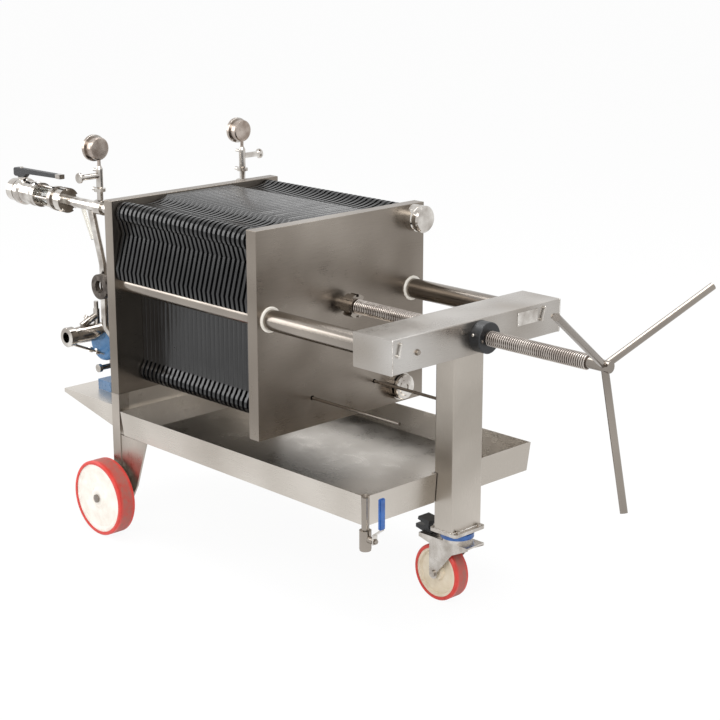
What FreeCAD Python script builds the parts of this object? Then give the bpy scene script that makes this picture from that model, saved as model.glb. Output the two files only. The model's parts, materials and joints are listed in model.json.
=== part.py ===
import FreeCAD, Part
import math
import os
import re
import Sketcher
from FreeCAD import Placement, Rotation, Vector

# Plate filter press on three wheels. X runs along the press from the pump to the handle,
# Y runs across it, Z is up, with the floor at zero.

SIZES = [
    # whole press
    ("face_x", -469, "front face of the fixed end plate, measured from the middle of the press"),
    ("axis_z", 669, "height of the spindle, bars and beam"),
    ("seat", 0.3, "gap between pieces that sit on each other"),
    ("fit", 0.05, "radial clearance of a sliding or turning fit"),
    # end plates
    ("plate_w", 560, "width of both end plates"),
    ("plate_low", 377, "lower edge of both end plates"),
    ("plate_tall", 507, "height of both end plates"),
    ("fixed_thick", 32, "fixed end plate"),
    ("moving_thick", 34, "moving end plate"),
    # filter plates
    ("leaf_count", 30, "number of filter plates"),
    ("leaf_pitch", 17.25, "spacing of the filter plates"),
    ("leaf_gap", 0.3, "air between neighbouring filter plates"),
    ("leaf_edge", 9, "thin outer edge of a filter plate with its lobes and ears"),
    ("port_r", 13, "port of a filter plate"),
    ("port_rim_r", 19, "sealing collar around a port"),
    ("leaf_top", "=plate_low + plate_tall - 3", "flat top of a filter plate"),
    ("leaf_flat", "=plate_w / 2 - 175", "half of the flat top"),
    ("leaf_side", "=plate_w / 2 - 84", "half width below the bars"),
    ("leaf_sole", "=plate_low + 83", "lower edge between the lower ports"),
    ("dip_r", 165, "hollow beside the upper port"),
    ("lobe_r", 28, "upper port lobe"),
    ("lobe_y", "=plate_w / 2 - 38", "upper port from the middle"),
    ("lobe_z", "=plate_low + plate_tall - 33", "upper port height"),
    ("ear_y", "=plate_w / 2 - 3", "outer edge of the ear"),
    ("foot_r", 27, "lower port lobe"),
    ("foot_y", "=plate_w / 2 - 96", "lower port from the middle"),
    ("foot_z", "=plate_low + 48", "lower port height"),
    ("hook_gap", 1.5, "air between the ear and its bar"),
    # side bars and guide rods
    ("bar_r", 25, "side bar"),
    ("bar_y", "=plate_w / 2 - 41", "side bar from the middle"),
    ("rod_r", 4, "guide rod"),
    ("rod_y", "=plate_w / 2 - 174", "guide rod from the middle"),
    ("rod_z", "=plate_low + 73", "guide rod height"),
    ("rod_len", 848, "guide rod length"),
    ("rod_air", 2, "clearance of a guide rod in the moving plate"),
    # cross beam and column
    ("beam_x", 877, "rear face of the beam from the fixed plate"),
    ("beam_d", 120, "beam along the press"),
    ("beam_tall", 80, "beam height"),
    ("beam_w", "=plate_w + 6", "beam across the press"),
    ("beam_wall", 5, "beam wall"),
    ("beam_round", 3, "rounded long edges of the beam"),
    ("plate_round", 1.5, "eased edges of the end plates"),
    ("post_d", 60, "column along the press"),
    ("post_w", 100, "column across the press"),
    ("post_wall", 4, "column wall"),
    ("post_round", 5, "rounded corners of the column"),
    ("post_low", 196, "lower end of the column"),
    # spindle
    ("screw_r", 18, "spindle"),
    ("neck_r", 14, "neck of the spindle in its thrust socket"),
    ("socket_r", 18, "thrust socket"),
    ("socket_len", 20, "thrust socket"),
    ("ring_r", 29, "slotted ring nut"),
    ("ring_len", 28, "slotted ring nut"),
    ("slot_w", 9, "slot of a ring nut"),
    ("slot_deep", 6, "slot of a ring nut"),
    ("nut_r", 25, "spindle nut inside the beam"),
    ("collar_r", 36.5, "collar on the beam"),
    ("collar_len", 30, "collar on the beam"),
    ("screw_end", 1310, "end of the thread from the fixed plate"),
    ("boss_r", 13, "turned end of the spindle"),
    ("boss_len", 57, "turned end of the spindle"),
    ("spoke_r", 8.5, "handle spoke"),
    ("spoke_len", 317, "handle spoke"),
    ("spoke_x", 1350, "root of the spokes from the fixed plate"),
    ("spoke_lean", 14, "forward lean of the spokes"),
    ("spoke_turn", 27.6, "first spoke above the horizontal"),
    # bushings and port caps
    ("bush_r", 29, "outside of a bar bushing"),
    ("flange_r", 31, "flange of a bar bushing"),
    ("flange_t", 4, "flange of a bar bushing"),
    ("cap_r", 34, "upper port cap"),
    ("cap_len", 43, "upper port cap"),
    ("plug_r", 36, "lower port cap"),
    ("plug_len", 36, "lower port cap"),
    # tray
    ("tray_x", 9, "rear rim of the tray from the fixed plate"),
    ("tray_end", 917, "front rim of the tray from the fixed plate"),
    ("tray_w", "=plate_w + 8", "width over the rim"),
    ("tray_top", 334, "rim height"),
    ("tray_low", 269, "underside of the tray"),
    ("tray_fall", 8, "fall of the tray floor towards the drain"),
    ("tray_lean", 6, "inward lean of the walls at the bottom"),
    ("sheet_t", 2, "sheet thickness of the tray"),
    ("corner_trim", 6, "outer corner behind the drain pipe"),
    ("corner_cut", 28, "inner corner that leaves room for the drain pipe"),
    ("post_air", 2, "air between tray and column"),
    # rear legs and wheels
    ("leg_w", 32, "square leg"),
    ("leg_foot", 60, "lower end of the leg"),
    ("web_t", 5, "gusset of the leg"),
    ("axle_x", -29, "rear axle from the fixed plate"),
    ("axle_r", 8, "rear axle"),
    ("wheel_r", 100, "rear wheel"),
    ("wheel_w", 50, "rear wheel"),
    ("wheel_gap", 11, "leg to wheel"),
    ("tread_t", 9, "thickness of the red treads"),
    # caster
    ("caster_r", 70, "caster wheel"),
    ("caster_w", 42, "caster wheel"),
    ("caster_axle_r", 8, "caster axle"),
    ("trail", 49, "caster axle behind the swivel"),
    ("base_d", 85, "caster plate along the press"),
    ("base_w", 105, "caster plate across the press"),
    ("base_t", 8, "caster plate"),
    ("base_round", 9, "rounded corners of the caster plate"),
    ("fork_t", 4, "fork sheet"),
    ("fork_gap", 5, "fork to wheel"),
    ("crown_z", 158, "underside of the fork crown"),
    # pump shelf and cross member
    ("shelf_d", 213, "depth of the pump shelf"),
    ("shelf_z", 344, "top of the pump shelf"),
    ("shelf_t", 3, "sheet of the pump shelf"),
    ("shelf_drop", 58, "height of the shelf side at the leg"),
    ("shelf_lip", 10, "height of the shelf side at the free edge"),
    ("sill_low", 325, "underside of the cross member"),
    ("sill_t", 24, "cross member along the press"),
    # outlet line
    ("pipe_r", 14, "pipes of the outlet and inlet lines"),
    ("bore_r", 12, "inside of the pipes"),
    ("line_y", "=plate_w / 2 - 40", "pipe from the middle"),
    ("line_z", "=plate_low + plate_tall - 34", "pipe height"),
    ("ferrule_r", 25, "pipe flange on the fixed plate"),
    ("ferrule_t", 8, "pipe flange on the fixed plate"),
    ("union_x", 213, "union nut behind the fixed plate"),
    ("union_r", 33, "union nut"),
    ("union_len", 24, "union nut"),
    ("cage_x", 255, "sight glass behind the fixed plate"),
    ("cage_r", 32.5, "sight glass flanges"),
    ("cage_len", 90, "sight glass between its outer faces"),
    ("cage_t", 12, "sight glass flange"),
    ("cage_rod_r", 4, "sight glass rod"),
    ("cage_pcd_r", 25, "circle of the sight glass rods"),
    ("glass_r", 19, "sight glass"),
    ("glass_t", 3, "wall of the sight glass"),
    ("valve_x", 345, "outlet valve behind the fixed plate"),
    ("valve_len", 82, "outlet valve body"),
    ("valve_r", 36, "outlet valve body"),
    ("spigot_len", 38, "threaded spigot"),
    ("spigot_r", 31, "threaded spigot"),
    ("stem_x", 422, "lever stem behind the fixed plate"),
    ("stem_r", 7, "lever stem"),
    ("stem_top", "=line_z + 53", "top of the lever stem"),
    ("grip_len", 185, "outlet valve lever"),
    ("grip_w", 15, "outlet valve lever"),
    ("grip_t", 10, "outlet valve lever"),
    ("tap_off_x", -147, "collector branch on the outlet pipe"),
    ("branch_r", 10, "collector pipe"),
    ("bleed_r", 5.5, "clear bleed tube"),
    # gauges
    ("tee_x", 70, "gauge tee behind the fixed plate"),
    ("tee_r", 9, "gauge tee body"),
    ("saddle_r", 19, "thick ring on the pipe under a gauge tee"),
    ("tee_top", "=line_z + 108", "top of the gauge tee"),
    ("gauge_r", 34, "gauge bezel"),
    ("gauge_t", 30, "gauge case"),
    ("gauge_z", "=line_z + 152", "centre of the gauge"),
    # pump
    ("pump_x", -150, "pump axis from the fixed plate"),
    ("pump_z", 511, "pump axis height"),
    ("pump_mouth", "=-plate_w / 2 - 52", "face of the pump union"),
    ("pump_head_r", 22, "stainless pump head"),
    ("pump_case_r", 50, "blue pump casing"),
    ("motor_r", 55, "motor"),
    ("motor_end", 100, "rear end of the motor"),
    ("shaft_z", 478, "axis of the casing and the motor"),
    ("foot_tall", 27, "height of the pump foot"),
    ("riser_z", 590, "pipe from the pump to the far riser"),
    ("outlet_y", -135, "outlet of the pump casing"),
    # drain
    ("drain_x", 909, "drain pipe from the fixed plate"),
    ("drain_y", "=plate_w / 2 - 4", "drain pipe from the middle"),
    ("drain_r", 9, "drain pipe"),
    ("drain_low", 252, "lower end of the drain pipe"),
    ("tap_r", 14, "drain valve body"),
    ("tap_low", 203, "lower end of the drain valve"),
    ("tap_z", 232, "drain valve stem height"),
    # eye rings
    ("eye_r", 33, "eye ring"),
    ("eye_hole_r", 16.5, "hole of the eye ring"),
    ("eye_t", 14, "eye ring"),
    ("eye_z", 648, "eye ring height"),
    ("eye_y", "=plate_w / 2 - 17", "eye ring from the middle"),
]

NAMES = {name for name, value, note in SIZES}

doc = FreeCAD.newDocument("plate_filter_press")
sheet = doc.addObject("Spreadsheet::Sheet", "dims")
for row, (name, value, note) in enumerate(SIZES, start=1):
    sheet.set("A%d" % row, name)
    sheet.set("B%d" % row, str(value))
    sheet.set("C%d" % row, note)
    sheet.setAlias("B%d" % row, name)
doc.recompute()

parts = []


def bound(text):
    return re.sub(r"[a-z][a-z0-9_]*", lambda m: "dims." + m.group(0) if m.group(0) in NAMES else m.group(0), text)


def number(text):
    return float(sheet.evalExpression(bound(text)))


def bind(thing, **sizes):
    for key, text in sizes.items():
        thing.setExpression(key, bound(text))
    return thing


def put(thing, at, turn=None):
    if turn is not None:
        thing.Placement = Placement(Vector(), turn)
    for key, text in zip("xyz", at):
        thing.setExpression("Placement.Base." + key, bound(text))
    return thing


def keep(thing, label):
    thing.Label = label
    parts.append(thing)
    return thing


ALONG_X = Rotation(Vector(0, 1, 0), 90)
ALONG_Y = Rotation(Vector(1, 0, 0), -90)
TURN_TO_Y = Rotation(Vector(0, 0, 1), 90)
TURN_TO_BACK = Rotation(Vector(0, 0, 1), 180)
TURN_TO_Z = Rotation(Vector(0, 1, 0), -90)


def rod(name, r, length, at, turn=None):
    thing = doc.addObject("Part::Cylinder", name)
    bind(thing, Radius=r, Height=length)
    return put(thing, at, turn)


def block(name, size, at):
    thing = doc.addObject("Part::Box", name)
    bind(thing, Length=size[0], Width=size[1], Height=size[2])
    return put(thing, at)


def cut(name, base, tool):
    thing = doc.addObject("Part::Cut", name)
    thing.Base = base
    thing.Tool = tool
    return thing


def fuse(name, *pieces):
    thing = doc.addObject("Part::MultiFuse", name)
    thing.Shapes = list(pieces)
    return thing


def group(name, *pieces):
    thing = doc.addObject("Part::Compound", name)
    thing.Links = list(pieces)
    return thing


def mirrored(name, thing):
    copy = doc.addObject("Part::Mirroring", name)
    copy.Source = thing
    copy.Normal = Vector(0, 1, 0)
    return copy


def new_body(name):
    body = doc.addObject("PartDesign::Body", name)
    if hasattr(body, "AllowCompound"):
        body.AllowCompound = True
    return body


def sketch(body, name, role, offset="0"):
    plane = [f for f in body.Origin.OriginFeatures if f.Role == role][0]
    sk = body.newObject("Sketcher::SketchObject", name)
    sk.AttachmentSupport = [(plane, "")]
    sk.MapMode = "FlatFace"
    sk.setExpression("AttachmentOffset.Base.z", bound(offset))
    return sk


def outline(sk, points):
    # each point is (x, y) or (x, y, radius, side): the extra values bend the edge that ends there
    # to the left (1) or right (-1) of its direction, always by less than half a circle
    spots = [Vector(number(p[0]), number(p[1]), 0) for p in points]
    ends = []
    for i, p in enumerate(points):
        a = spots[i - 1]
        b = spots[i]
        if len(p) == 2:
            ends.append((sk.addGeometry(Part.LineSegment(a, b)), 1, 2))
            continue
        r = number(p[2])
        half = (b - a) * 0.5
        normal = Vector(-half.y, half.x, 0)
        normal.normalize()
        middle = a + half - normal * (p[3] * (r * r - half.Length ** 2) ** 0.5)
        first, last = (b, a) if p[3] > 0 else (a, b)
        from_angle = math.atan2(first.y - middle.y, first.x - middle.x)
        to_angle = math.atan2(last.y - middle.y, last.x - middle.x)
        circle = Part.Circle(middle, Vector(0, 0, 1), r)
        edge = sk.addGeometry(Part.ArcOfCircle(circle, from_angle, to_angle))
        ends.append((edge, 2, 1) if p[3] > 0 else (edge, 1, 2))
    for i, p in enumerate(points):
        edge, start, end = ends[i]
        following = ends[(i + 1) % len(points)]
        sk.addConstraint(Sketcher.Constraint("Coincident", edge, end, following[0], following[1]))
        cx = sk.addConstraint(Sketcher.Constraint("DistanceX", -1, 1, edge, end, spots[i].x))
        cy = sk.addConstraint(Sketcher.Constraint("DistanceY", -1, 1, edge, end, spots[i].y))
        sk.setExpression("Constraints[%d]" % cx, bound(p[0]))
        sk.setExpression("Constraints[%d]" % cy, bound(p[1]))
        if len(p) > 2:
            cr = sk.addConstraint(Sketcher.Constraint("Radius", edge, number(p[2])))
            sk.setExpression("Constraints[%d]" % cr, bound(p[2]))
    return sk


def ring(sk, at, r):
    edge = sk.addGeometry(Part.Circle(Vector(number(at[0]), number(at[1]), 0), Vector(0, 0, 1), number(r)))
    cx = sk.addConstraint(Sketcher.Constraint("DistanceX", -1, 1, edge, 3, number(at[0])))
    cy = sk.addConstraint(Sketcher.Constraint("DistanceY", -1, 1, edge, 3, number(at[1])))
    cr = sk.addConstraint(Sketcher.Constraint("Radius", edge, number(r)))
    sk.setExpression("Constraints[%d]" % cx, bound(at[0]))
    sk.setExpression("Constraints[%d]" % cy, bound(at[1]))
    sk.setExpression("Constraints[%d]" % cr, bound(r))
    return sk


def pad(body, name, sk, length, reverse=False, both=False):
    feature = body.newObject("PartDesign::Pad", name)
    feature.Profile = sk
    feature.Reversed = reverse
    feature.Midplane = both
    bind(feature, Length=length)
    body.Tip = feature
    return feature


def pocket(body, name, sk, length):
    feature = body.newObject("PartDesign::Pocket", name)
    feature.Profile = sk
    feature.Midplane = True
    bind(feature, Length=length)
    body.Tip = feature
    return feature


def eased_box(body, name, base, r):
    feature = body.newObject("PartDesign::Fillet", name)
    feature.Base = (base, ["Edge%d" % (i + 1) for i in range(12)])
    bind(feature, Radius=r)
    body.Tip = feature
    return feature


def rounded(x0, y0, x1, y1, r):
    return [
        (x1 + " - " + r, y0),
        (x1, y0 + " + " + r, r, -1),
        (x1, y1 + " - " + r),
        (x1 + " - " + r, y1, r, -1),
        (x0 + " + " + r, y1),
        (x0, y1 + " - " + r, r, -1),
        (x0, y0 + " + " + r),
        (x0 + " + " + r, y0, r, -1),
    ]


def turned(name, profile, at, turn=None):
    # profile runs along the body's own X with the radius up its Z
    body = new_body(name)
    sk = outline(sketch(body, name + "_profile", "XZ_Plane"), profile)
    feature = body.newObject("PartDesign::Revolution", name + "_turned")
    feature.Profile = sk
    feature.ReferenceAxis = (sk, ["H_Axis"])
    feature.Angle = 360
    body.Tip = feature
    return put(body, at, turn)


# Fixed end plate -----------------------------------------------------------
fixed = new_body("fixed_end_plate")
fixed_sketch = outline(
    sketch(fixed, "fixed_outline", "YZ_Plane"),
    [
        ("-plate_w / 2", "plate_low"),
        ("plate_w / 2", "plate_low"),
        ("plate_w / 2", "plate_low + plate_tall"),
        ("-plate_w / 2", "plate_low + plate_tall"),
    ],
)
fixed_pad = pad(fixed, "fixed_pad", fixed_sketch, "fixed_thick", reverse=True)
eased_box(fixed, "fixed_edges", fixed_pad, "plate_round")
put(fixed, ("face_x", "0", "0"))
keep(fixed, "fixed_end_plate")

# Rear legs: a square tube under the plate with a gusset that carries the tray and the axle
leg = new_body("leg")
leg_tube = outline(
    sketch(leg, "leg_tube", "XY_Plane", "leg_foot + 30"),
    [
        ("-leg_w", "-plate_w / 2"),
        ("0", "-plate_w / 2"),
        ("0", "-plate_w / 2 + leg_w"),
        ("-leg_w", "-plate_w / 2 + leg_w"),
    ],
)
pad(leg, "leg_tube_pad", leg_tube, "plate_low - leg_foot - 30")
leg_web = outline(
    sketch(leg, "leg_web", "XZ_Plane", "plate_w / 2 - 2 - web_t"),
    [
        ("-leg_w", "tray_low - seat - 107 * tray_fall / tray_end"),
        ("-leg_w", "leg_foot + 140"),
        ("axle_x - 28", "wheel_r + 30"),
        ("axle_x - 28", "leg_foot + 12"),
        ("axle_x - 16", "leg_foot"),
        ("axle_x + 44", "leg_foot"),
        ("63", "143"),
        ("107", "tray_low - seat - 107 * tray_fall / tray_end"),
    ],
)
pad(leg, "leg_web_pad", leg_web, "web_t")
put(leg, ("face_x", "0", "0"))
keep(group("rear_legs", leg, mirrored("leg_far", leg)), "rear_legs")

# Cross member between the legs, under the fixed plate
sill = block(
    "leg_cross_member",
    ("sill_t", "plate_w - 2 * leg_w", "plate_low - sill_low"),
    ("face_x - leg_w + 4", "-plate_w / 2 + leg_w", "sill_low"),
)
keep(sill, "leg_cross_member")

# Pump shelf: a folded sheet with two tapering sides
shelf = new_body("pump_shelf")
shelf_side = outline(
    sketch(shelf, "shelf_side", "XZ_Plane"),
    [
        ("-leg_w", "shelf_z - shelf_drop"),
        ("-leg_w", "shelf_z"),
        ("-leg_w - shelf_d", "shelf_z"),
        ("-leg_w - shelf_d", "shelf_z - shelf_lip"),
    ],
)
pad(shelf, "shelf_pad", shelf_side, "plate_w", both=True)
shelf_hollow = outline(
    sketch(shelf, "shelf_hollow", "XZ_Plane"),
    [
        ("-leg_w + 1", "shelf_z - shelf_drop - 5"),
        ("-leg_w + 1", "shelf_z - shelf_t"),
        ("-leg_w - shelf_d + shelf_t", "shelf_z - shelf_t"),
        ("-leg_w - shelf_d + shelf_t", "shelf_z - shelf_drop - 5"),
    ],
)
pocket(shelf, "shelf_fold", shelf_hollow, "plate_w - 2 * shelf_t")
put(shelf, ("face_x", "0", "0"))
keep(shelf, "pump_shelf")

# Side bars and guide rods between the fixed plate and the beam
bar = rod("bar_near", "bar_r", "beam_x", ("face_x", "-bar_y", "axis_z"), ALONG_X)
bar_far = rod("bar_far", "bar_r", "beam_x", ("face_x", "bar_y", "axis_z"), ALONG_X)
keep(group("side_bars", bar, bar_far), "side_bars")
rod_near = rod("rod_near", "rod_r", "rod_len", ("face_x", "-rod_y", "rod_z"), ALONG_X)
rod_far = rod("rod_far", "rod_r", "rod_len", ("face_x", "rod_y", "rod_z"), ALONG_X)
keep(group("guide_rods", rod_near, rod_far), "guide_rods")

# Cross beam: closed box tube, bored for the spindle nut
beam = new_body("cross_beam")
beam_side = outline(
    sketch(beam, "beam_side", "XZ_Plane"),
    rounded("beam_x", "axis_z - beam_tall / 2", "beam_x + beam_d", "axis_z + beam_tall / 2", "beam_round"),
)
pad(beam, "beam_pad", beam_side, "beam_w", both=True)
beam_inside = outline(
    sketch(beam, "beam_inside", "XZ_Plane"),
    rounded(
        "beam_x + beam_wall",
        "axis_z - beam_tall / 2 + beam_wall",
        "beam_x + beam_d - beam_wall",
        "axis_z + beam_tall / 2 - beam_wall",
        "beam_round",
    ),
)
pocket(beam, "beam_hollow", beam_inside, "beam_w - 2 * beam_wall")
beam_bore = ring(sketch(beam, "beam_bore", "YZ_Plane", "beam_x + beam_d / 2"), ("0", "axis_z"), "nut_r + seat")
pocket(beam, "beam_hole", beam_bore, "beam_d + 20")
put(beam, ("face_x", "0", "0"))
keep(beam, "cross_beam")

# Spindle nut with the black collar on the front of the beam
nut = turned(
    "nut_collar",
    [
        ("beam_x", "screw_r + fit"),
        ("beam_x + beam_d + collar_len", "screw_r + fit"),
        ("beam_x + beam_d + collar_len", "collar_r - 2"),
        ("beam_x + beam_d + collar_len - 2", "collar_r"),
        ("beam_x + beam_d", "collar_r"),
        ("beam_x + beam_d", "nut_r"),
        ("beam_x", "nut_r"),
    ],
    ("face_x", "0", "axis_z"),
)
keep(nut, "nut_collar")

# Front column under the beam
post = new_body("front_column")
post_tube = sketch(post, "post_tube", "XY_Plane", "post_low")
outline(post_tube, rounded("-post_d / 2", "-post_w / 2", "post_d / 2", "post_w / 2", "post_round"))
outline(
    post_tube,
    [
        ("-post_d / 2 + post_wall", "-post_w / 2 + post_wall"),
        ("post_d / 2 - post_wall", "-post_w / 2 + post_wall"),
        ("post_d / 2 - post_wall", "post_w / 2 - post_wall"),
        ("-post_d / 2 + post_wall", "post_w / 2 - post_wall"),
    ],
)
pad(post, "post_pad", post_tube, "axis_z - beam_tall / 2 - post_low")
put(post, ("face_x + beam_x + beam_d / 2", "0", "0"))
keep(post, "front_column")


# Drip tray: leaning walls, a falling floor, a corner for the drain pipe and a recess around the column
def tray_loop(sk, inset, sunk, corner):
    x0 = "tray_x + " + inset
    x1 = "tray_end - " + inset
    notch = "beam_x + (beam_d - post_d) / 2 - post_air" + sunk
    half = "tray_w / 2 - " + inset
    side = "post_w / 2 + post_air" + sunk.replace("-", "+")
    return outline(
        sk,
        [
            (x0, "-(" + half + ")"),
            (x1 + " - " + corner, "-(" + half + ")"),
            (x1, "-(" + half + ") + " + corner),
            (x1, "-(" + side + ")"),
            (notch, "-(" + side + ")"),
            (notch, side),
            (x1, side),
            (x1, half),
            (x0, half),
        ],
    )


def falling(sk):
    sk.setExpression(
        "AttachmentOffset.Rotation", bound("rotation(vector(0; 1; 0); atan(tray_fall / tray_end))")
    )
    return sk


def tray_loft(kind, name, low, high):
    feature = tray.newObject("PartDesign::" + kind, name)
    feature.Profile = low
    feature.Sections = [high]
    feature.Ruled = True
    tray.Tip = feature


tray = new_body("drip_tray")
tray_foot = tray_loop(falling(sketch(tray, "tray_foot", "XY_Plane", "tray_low")), "tray_lean", "", "corner_trim")
tray_rim = tray_loop(sketch(tray, "tray_rim", "XY_Plane", "tray_top"), "0", "", "corner_trim")
tray_loft("AdditiveLoft", "tray_shape", tray_foot, tray_rim)
floor_in = tray_loop(
    falling(sketch(tray, "tray_floor_in", "XY_Plane", "tray_low + sheet_t")),
    "(tray_lean + sheet_t)",
    " - sheet_t",
    "corner_cut",
)
rim_in = tray_loop(sketch(tray, "tray_rim_in", "XY_Plane", "tray_top"), "sheet_t", " - sheet_t", "corner_cut")
tray_loft("SubtractiveLoft", "tray_hollow", floor_in, rim_in)
pipe_seat = ring(sketch(tray, "pipe_seat", "XY_Plane", "tray_low"), ("drain_x", "-drain_y"), "drain_r + seat")
pocket(tray, "pipe_groove", pipe_seat, "4 * (tray_top - tray_low)")
put(tray, ("face_x", "0", "0"))
keep(tray, "drip_tray")

# Drain: pipe in the cut corner, ball valve and lever
drain = rod(
    "drain_pipe",
    "drain_r",
    "tray_top - 4 - drain_low",
    ("face_x + drain_x", "-drain_y", "drain_low"),
)
keep(drain, "drain_pipe")
tap = turned(
    "tap_body",
    [
        ("0", "bore_r - 3"),
        ("0", "tap_r - 1"),
        ("5", "tap_r"),
        ("drain_low - tap_low - seat", "tap_r"),
        ("drain_low - tap_low - seat", "bore_r - 3"),
    ],
    ("face_x + drain_x", "-drain_y", "tap_low"),
    TURN_TO_Z,
)
tap_neck = rod("tap_neck", "8", "16", ("face_x + drain_x + tap_r - 2", "-drain_y", "tap_z"), ALONG_X)
keep(fuse("drain_valve", tap, tap_neck), "drain_valve_body")
tap_lever = new_body("drain_valve_lever")
tap_side = outline(
    sketch(tap_lever, "tap_lever_side", "XZ_Plane"),
    [
        ("tap_r + 14.5", "-7"),
        ("tap_r + 18", "-7"),
        ("tap_r + 18", "14"),
        ("tap_r + 42", "30"),
        ("tap_r + 42", "108"),
        ("tap_r + 33", "108"),
        ("tap_r + 33", "33"),
        ("tap_r + 14.5", "18"),
    ],
)
pad(tap_lever, "tap_lever_pad", tap_side, "18", both=True)
put(tap_lever, ("face_x + drain_x", "-drain_y", "tap_z"))
keep(tap_lever, "drain_valve_lever")

# Filter plates: port lobes at the corners, ears that hook over the side bars
leaf = new_body("filter_plates")
half_leaf = [
    ("leaf_flat", "leaf_top"),
    ("lobe_y - lobe_r * 0.574", "lobe_z + lobe_r * 0.819", "dip_r", -1),
    ("lobe_y + lobe_r", "lobe_z", "lobe_r", 1),
    ("lobe_y + lobe_r * 0.707", "lobe_z - lobe_r * 0.707", "lobe_r", 1),
    ("lobe_y + 11", "lobe_z - 52"),
    ("ear_y", "axis_z + 42"),
    ("ear_y - 4", "axis_z + 14"),
    ("bar_y + (bar_r + hook_gap) * 0.94", "axis_z + (bar_r + hook_gap) * 0.342"),
    ("bar_y - bar_r - hook_gap", "axis_z", "bar_r + hook_gap", -1),
    ("bar_y - bar_r - hook_gap", "axis_z - 14"),
    ("leaf_side", "axis_z - 36"),
    ("leaf_side", "foot_z + 34"),
    ("foot_y + foot_r * 0.707", "foot_z + foot_r * 0.707"),
    ("foot_y + foot_r * 0.5", "foot_z - foot_r * 0.866", "foot_r", 1),
    ("foot_y - foot_r * 0.866", "foot_z - foot_r * 0.5", "foot_r", 1),
    ("foot_y - 34", "leaf_sole"),
]
other_half = []
for i in range(len(half_leaf) - 1, -1, -1):
    spot = ("-(" + half_leaf[i][0] + ")", half_leaf[i][1])
    bend = half_leaf[i + 1][2:] if i + 1 < len(half_leaf) else ()
    other_half.append(spot + bend)
# The core is as thick as the spacing allows; the lobed edge around it is thinner
leaf_core = outline(
    sketch(leaf, "leaf_core", "YZ_Plane", "leaf_gap"),
    [
        ("-leaf_flat", "leaf_top"),
        ("-leaf_side", "leaf_top - 50"),
        ("-leaf_side", "leaf_sole - 4"),
        ("-foot_y + 34", "leaf_sole"),
        ("foot_y - 34", "leaf_sole"),
        ("leaf_side", "leaf_sole - 4"),
        ("leaf_side", "leaf_top - 50"),
        ("leaf_flat", "leaf_top"),
    ],
)
leaf_pads = [pad(leaf, "leaf_core_pad", leaf_core, "leaf_pitch - leaf_gap")]
leaf_outline = sketch(leaf, "leaf_outline", "YZ_Plane", "leaf_gap + (leaf_pitch - leaf_gap - leaf_edge) / 2")
outline(leaf_outline, half_leaf + other_half)
leaf_pads.append(pad(leaf, "leaf_edge_pad", leaf_outline, "leaf_edge"))
collars = sketch(leaf, "leaf_collars", "YZ_Plane", "leaf_gap")
ports = sketch(leaf, "leaf_ports", "YZ_Plane", "leaf_gap + leaf_pitch / 2")
for side in ("-", ""):
    for corner in ((side + "lobe_y", "lobe_z"), (side + "foot_y", "foot_z")):
        ring(collars, corner, "port_rim_r")
        ring(ports, corner, "port_r")
leaf_pads.append(pad(leaf, "leaf_collar_pads", collars, "leaf_pitch - leaf_gap"))
leaf_pads.append(pocket(leaf, "leaf_port_bores", ports, "leaf_pitch + 2"))
leaf_row = leaf.newObject("PartDesign::LinearPattern", "leaf_row")
leaf_row.Originals = leaf_pads
leaf_row.Direction = (leaf_core, ["N_Axis"])
bind(leaf_row, Length="leaf_pitch * (leaf_count - 1)", Occurrences="leaf_count")
leaf.Tip = leaf_row
put(leaf, ("face_x", "0", "0"))
keep(leaf, "filter_plates")

# Moving end plate: bored for the bar bushings and the guide rods
mover = new_body("moving_end_plate")
mover_sketch = outline(
    sketch(mover, "mover_outline", "YZ_Plane", "leaf_pitch * leaf_count + leaf_gap"),
    [
        ("-plate_w / 2", "plate_low"),
        ("plate_w / 2", "plate_low"),
        ("plate_w / 2", "plate_low + plate_tall"),
        ("-plate_w / 2", "plate_low + plate_tall"),
    ],
)
mover_pad = pad(mover, "mover_pad", mover_sketch, "moving_thick")
eased_box(mover, "mover_edges", mover_pad, "plate_round")
mover_holes = sketch(mover, "mover_holes", "YZ_Plane", "leaf_pitch * leaf_count + leaf_gap")
for side in ("-", ""):
    ring(mover_holes, (side + "bar_y", "axis_z"), "bush_r + seat / 2")
    ring(mover_holes, (side + "rod_y", "rod_z"), "rod_r + rod_air")
pocket(mover, "mover_bores", mover_holes, "3 * moving_thick")
put(mover, ("face_x", "0", "0"))
keep(mover, "moving_end_plate")

MOVER_X = "leaf_pitch * leaf_count + leaf_gap"
MOVER_FRONT = "leaf_pitch * leaf_count + leaf_gap + moving_thick"

# White bushings of the moving plate on the side bars
bush_profile = [
    (MOVER_X + " + 1", "bar_r + fit"),
    (MOVER_FRONT + " + flange_t", "bar_r + fit"),
    (MOVER_FRONT + " + flange_t", "flange_r - 1"),
    (MOVER_FRONT + " + flange_t - 1", "flange_r"),
    (MOVER_FRONT, "flange_r"),
    (MOVER_FRONT, "bush_r - seat / 2"),
    (MOVER_X + " + 1", "bush_r - seat / 2"),
]
bush_near = turned("bush_near", bush_profile, ("face_x", "-bar_y", "axis_z"))
bush_far = turned("bush_far", bush_profile, ("face_x", "bar_y", "axis_z"))
keep(group("bar_bushings", bush_near, bush_far), "bar_bushings")

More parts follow.
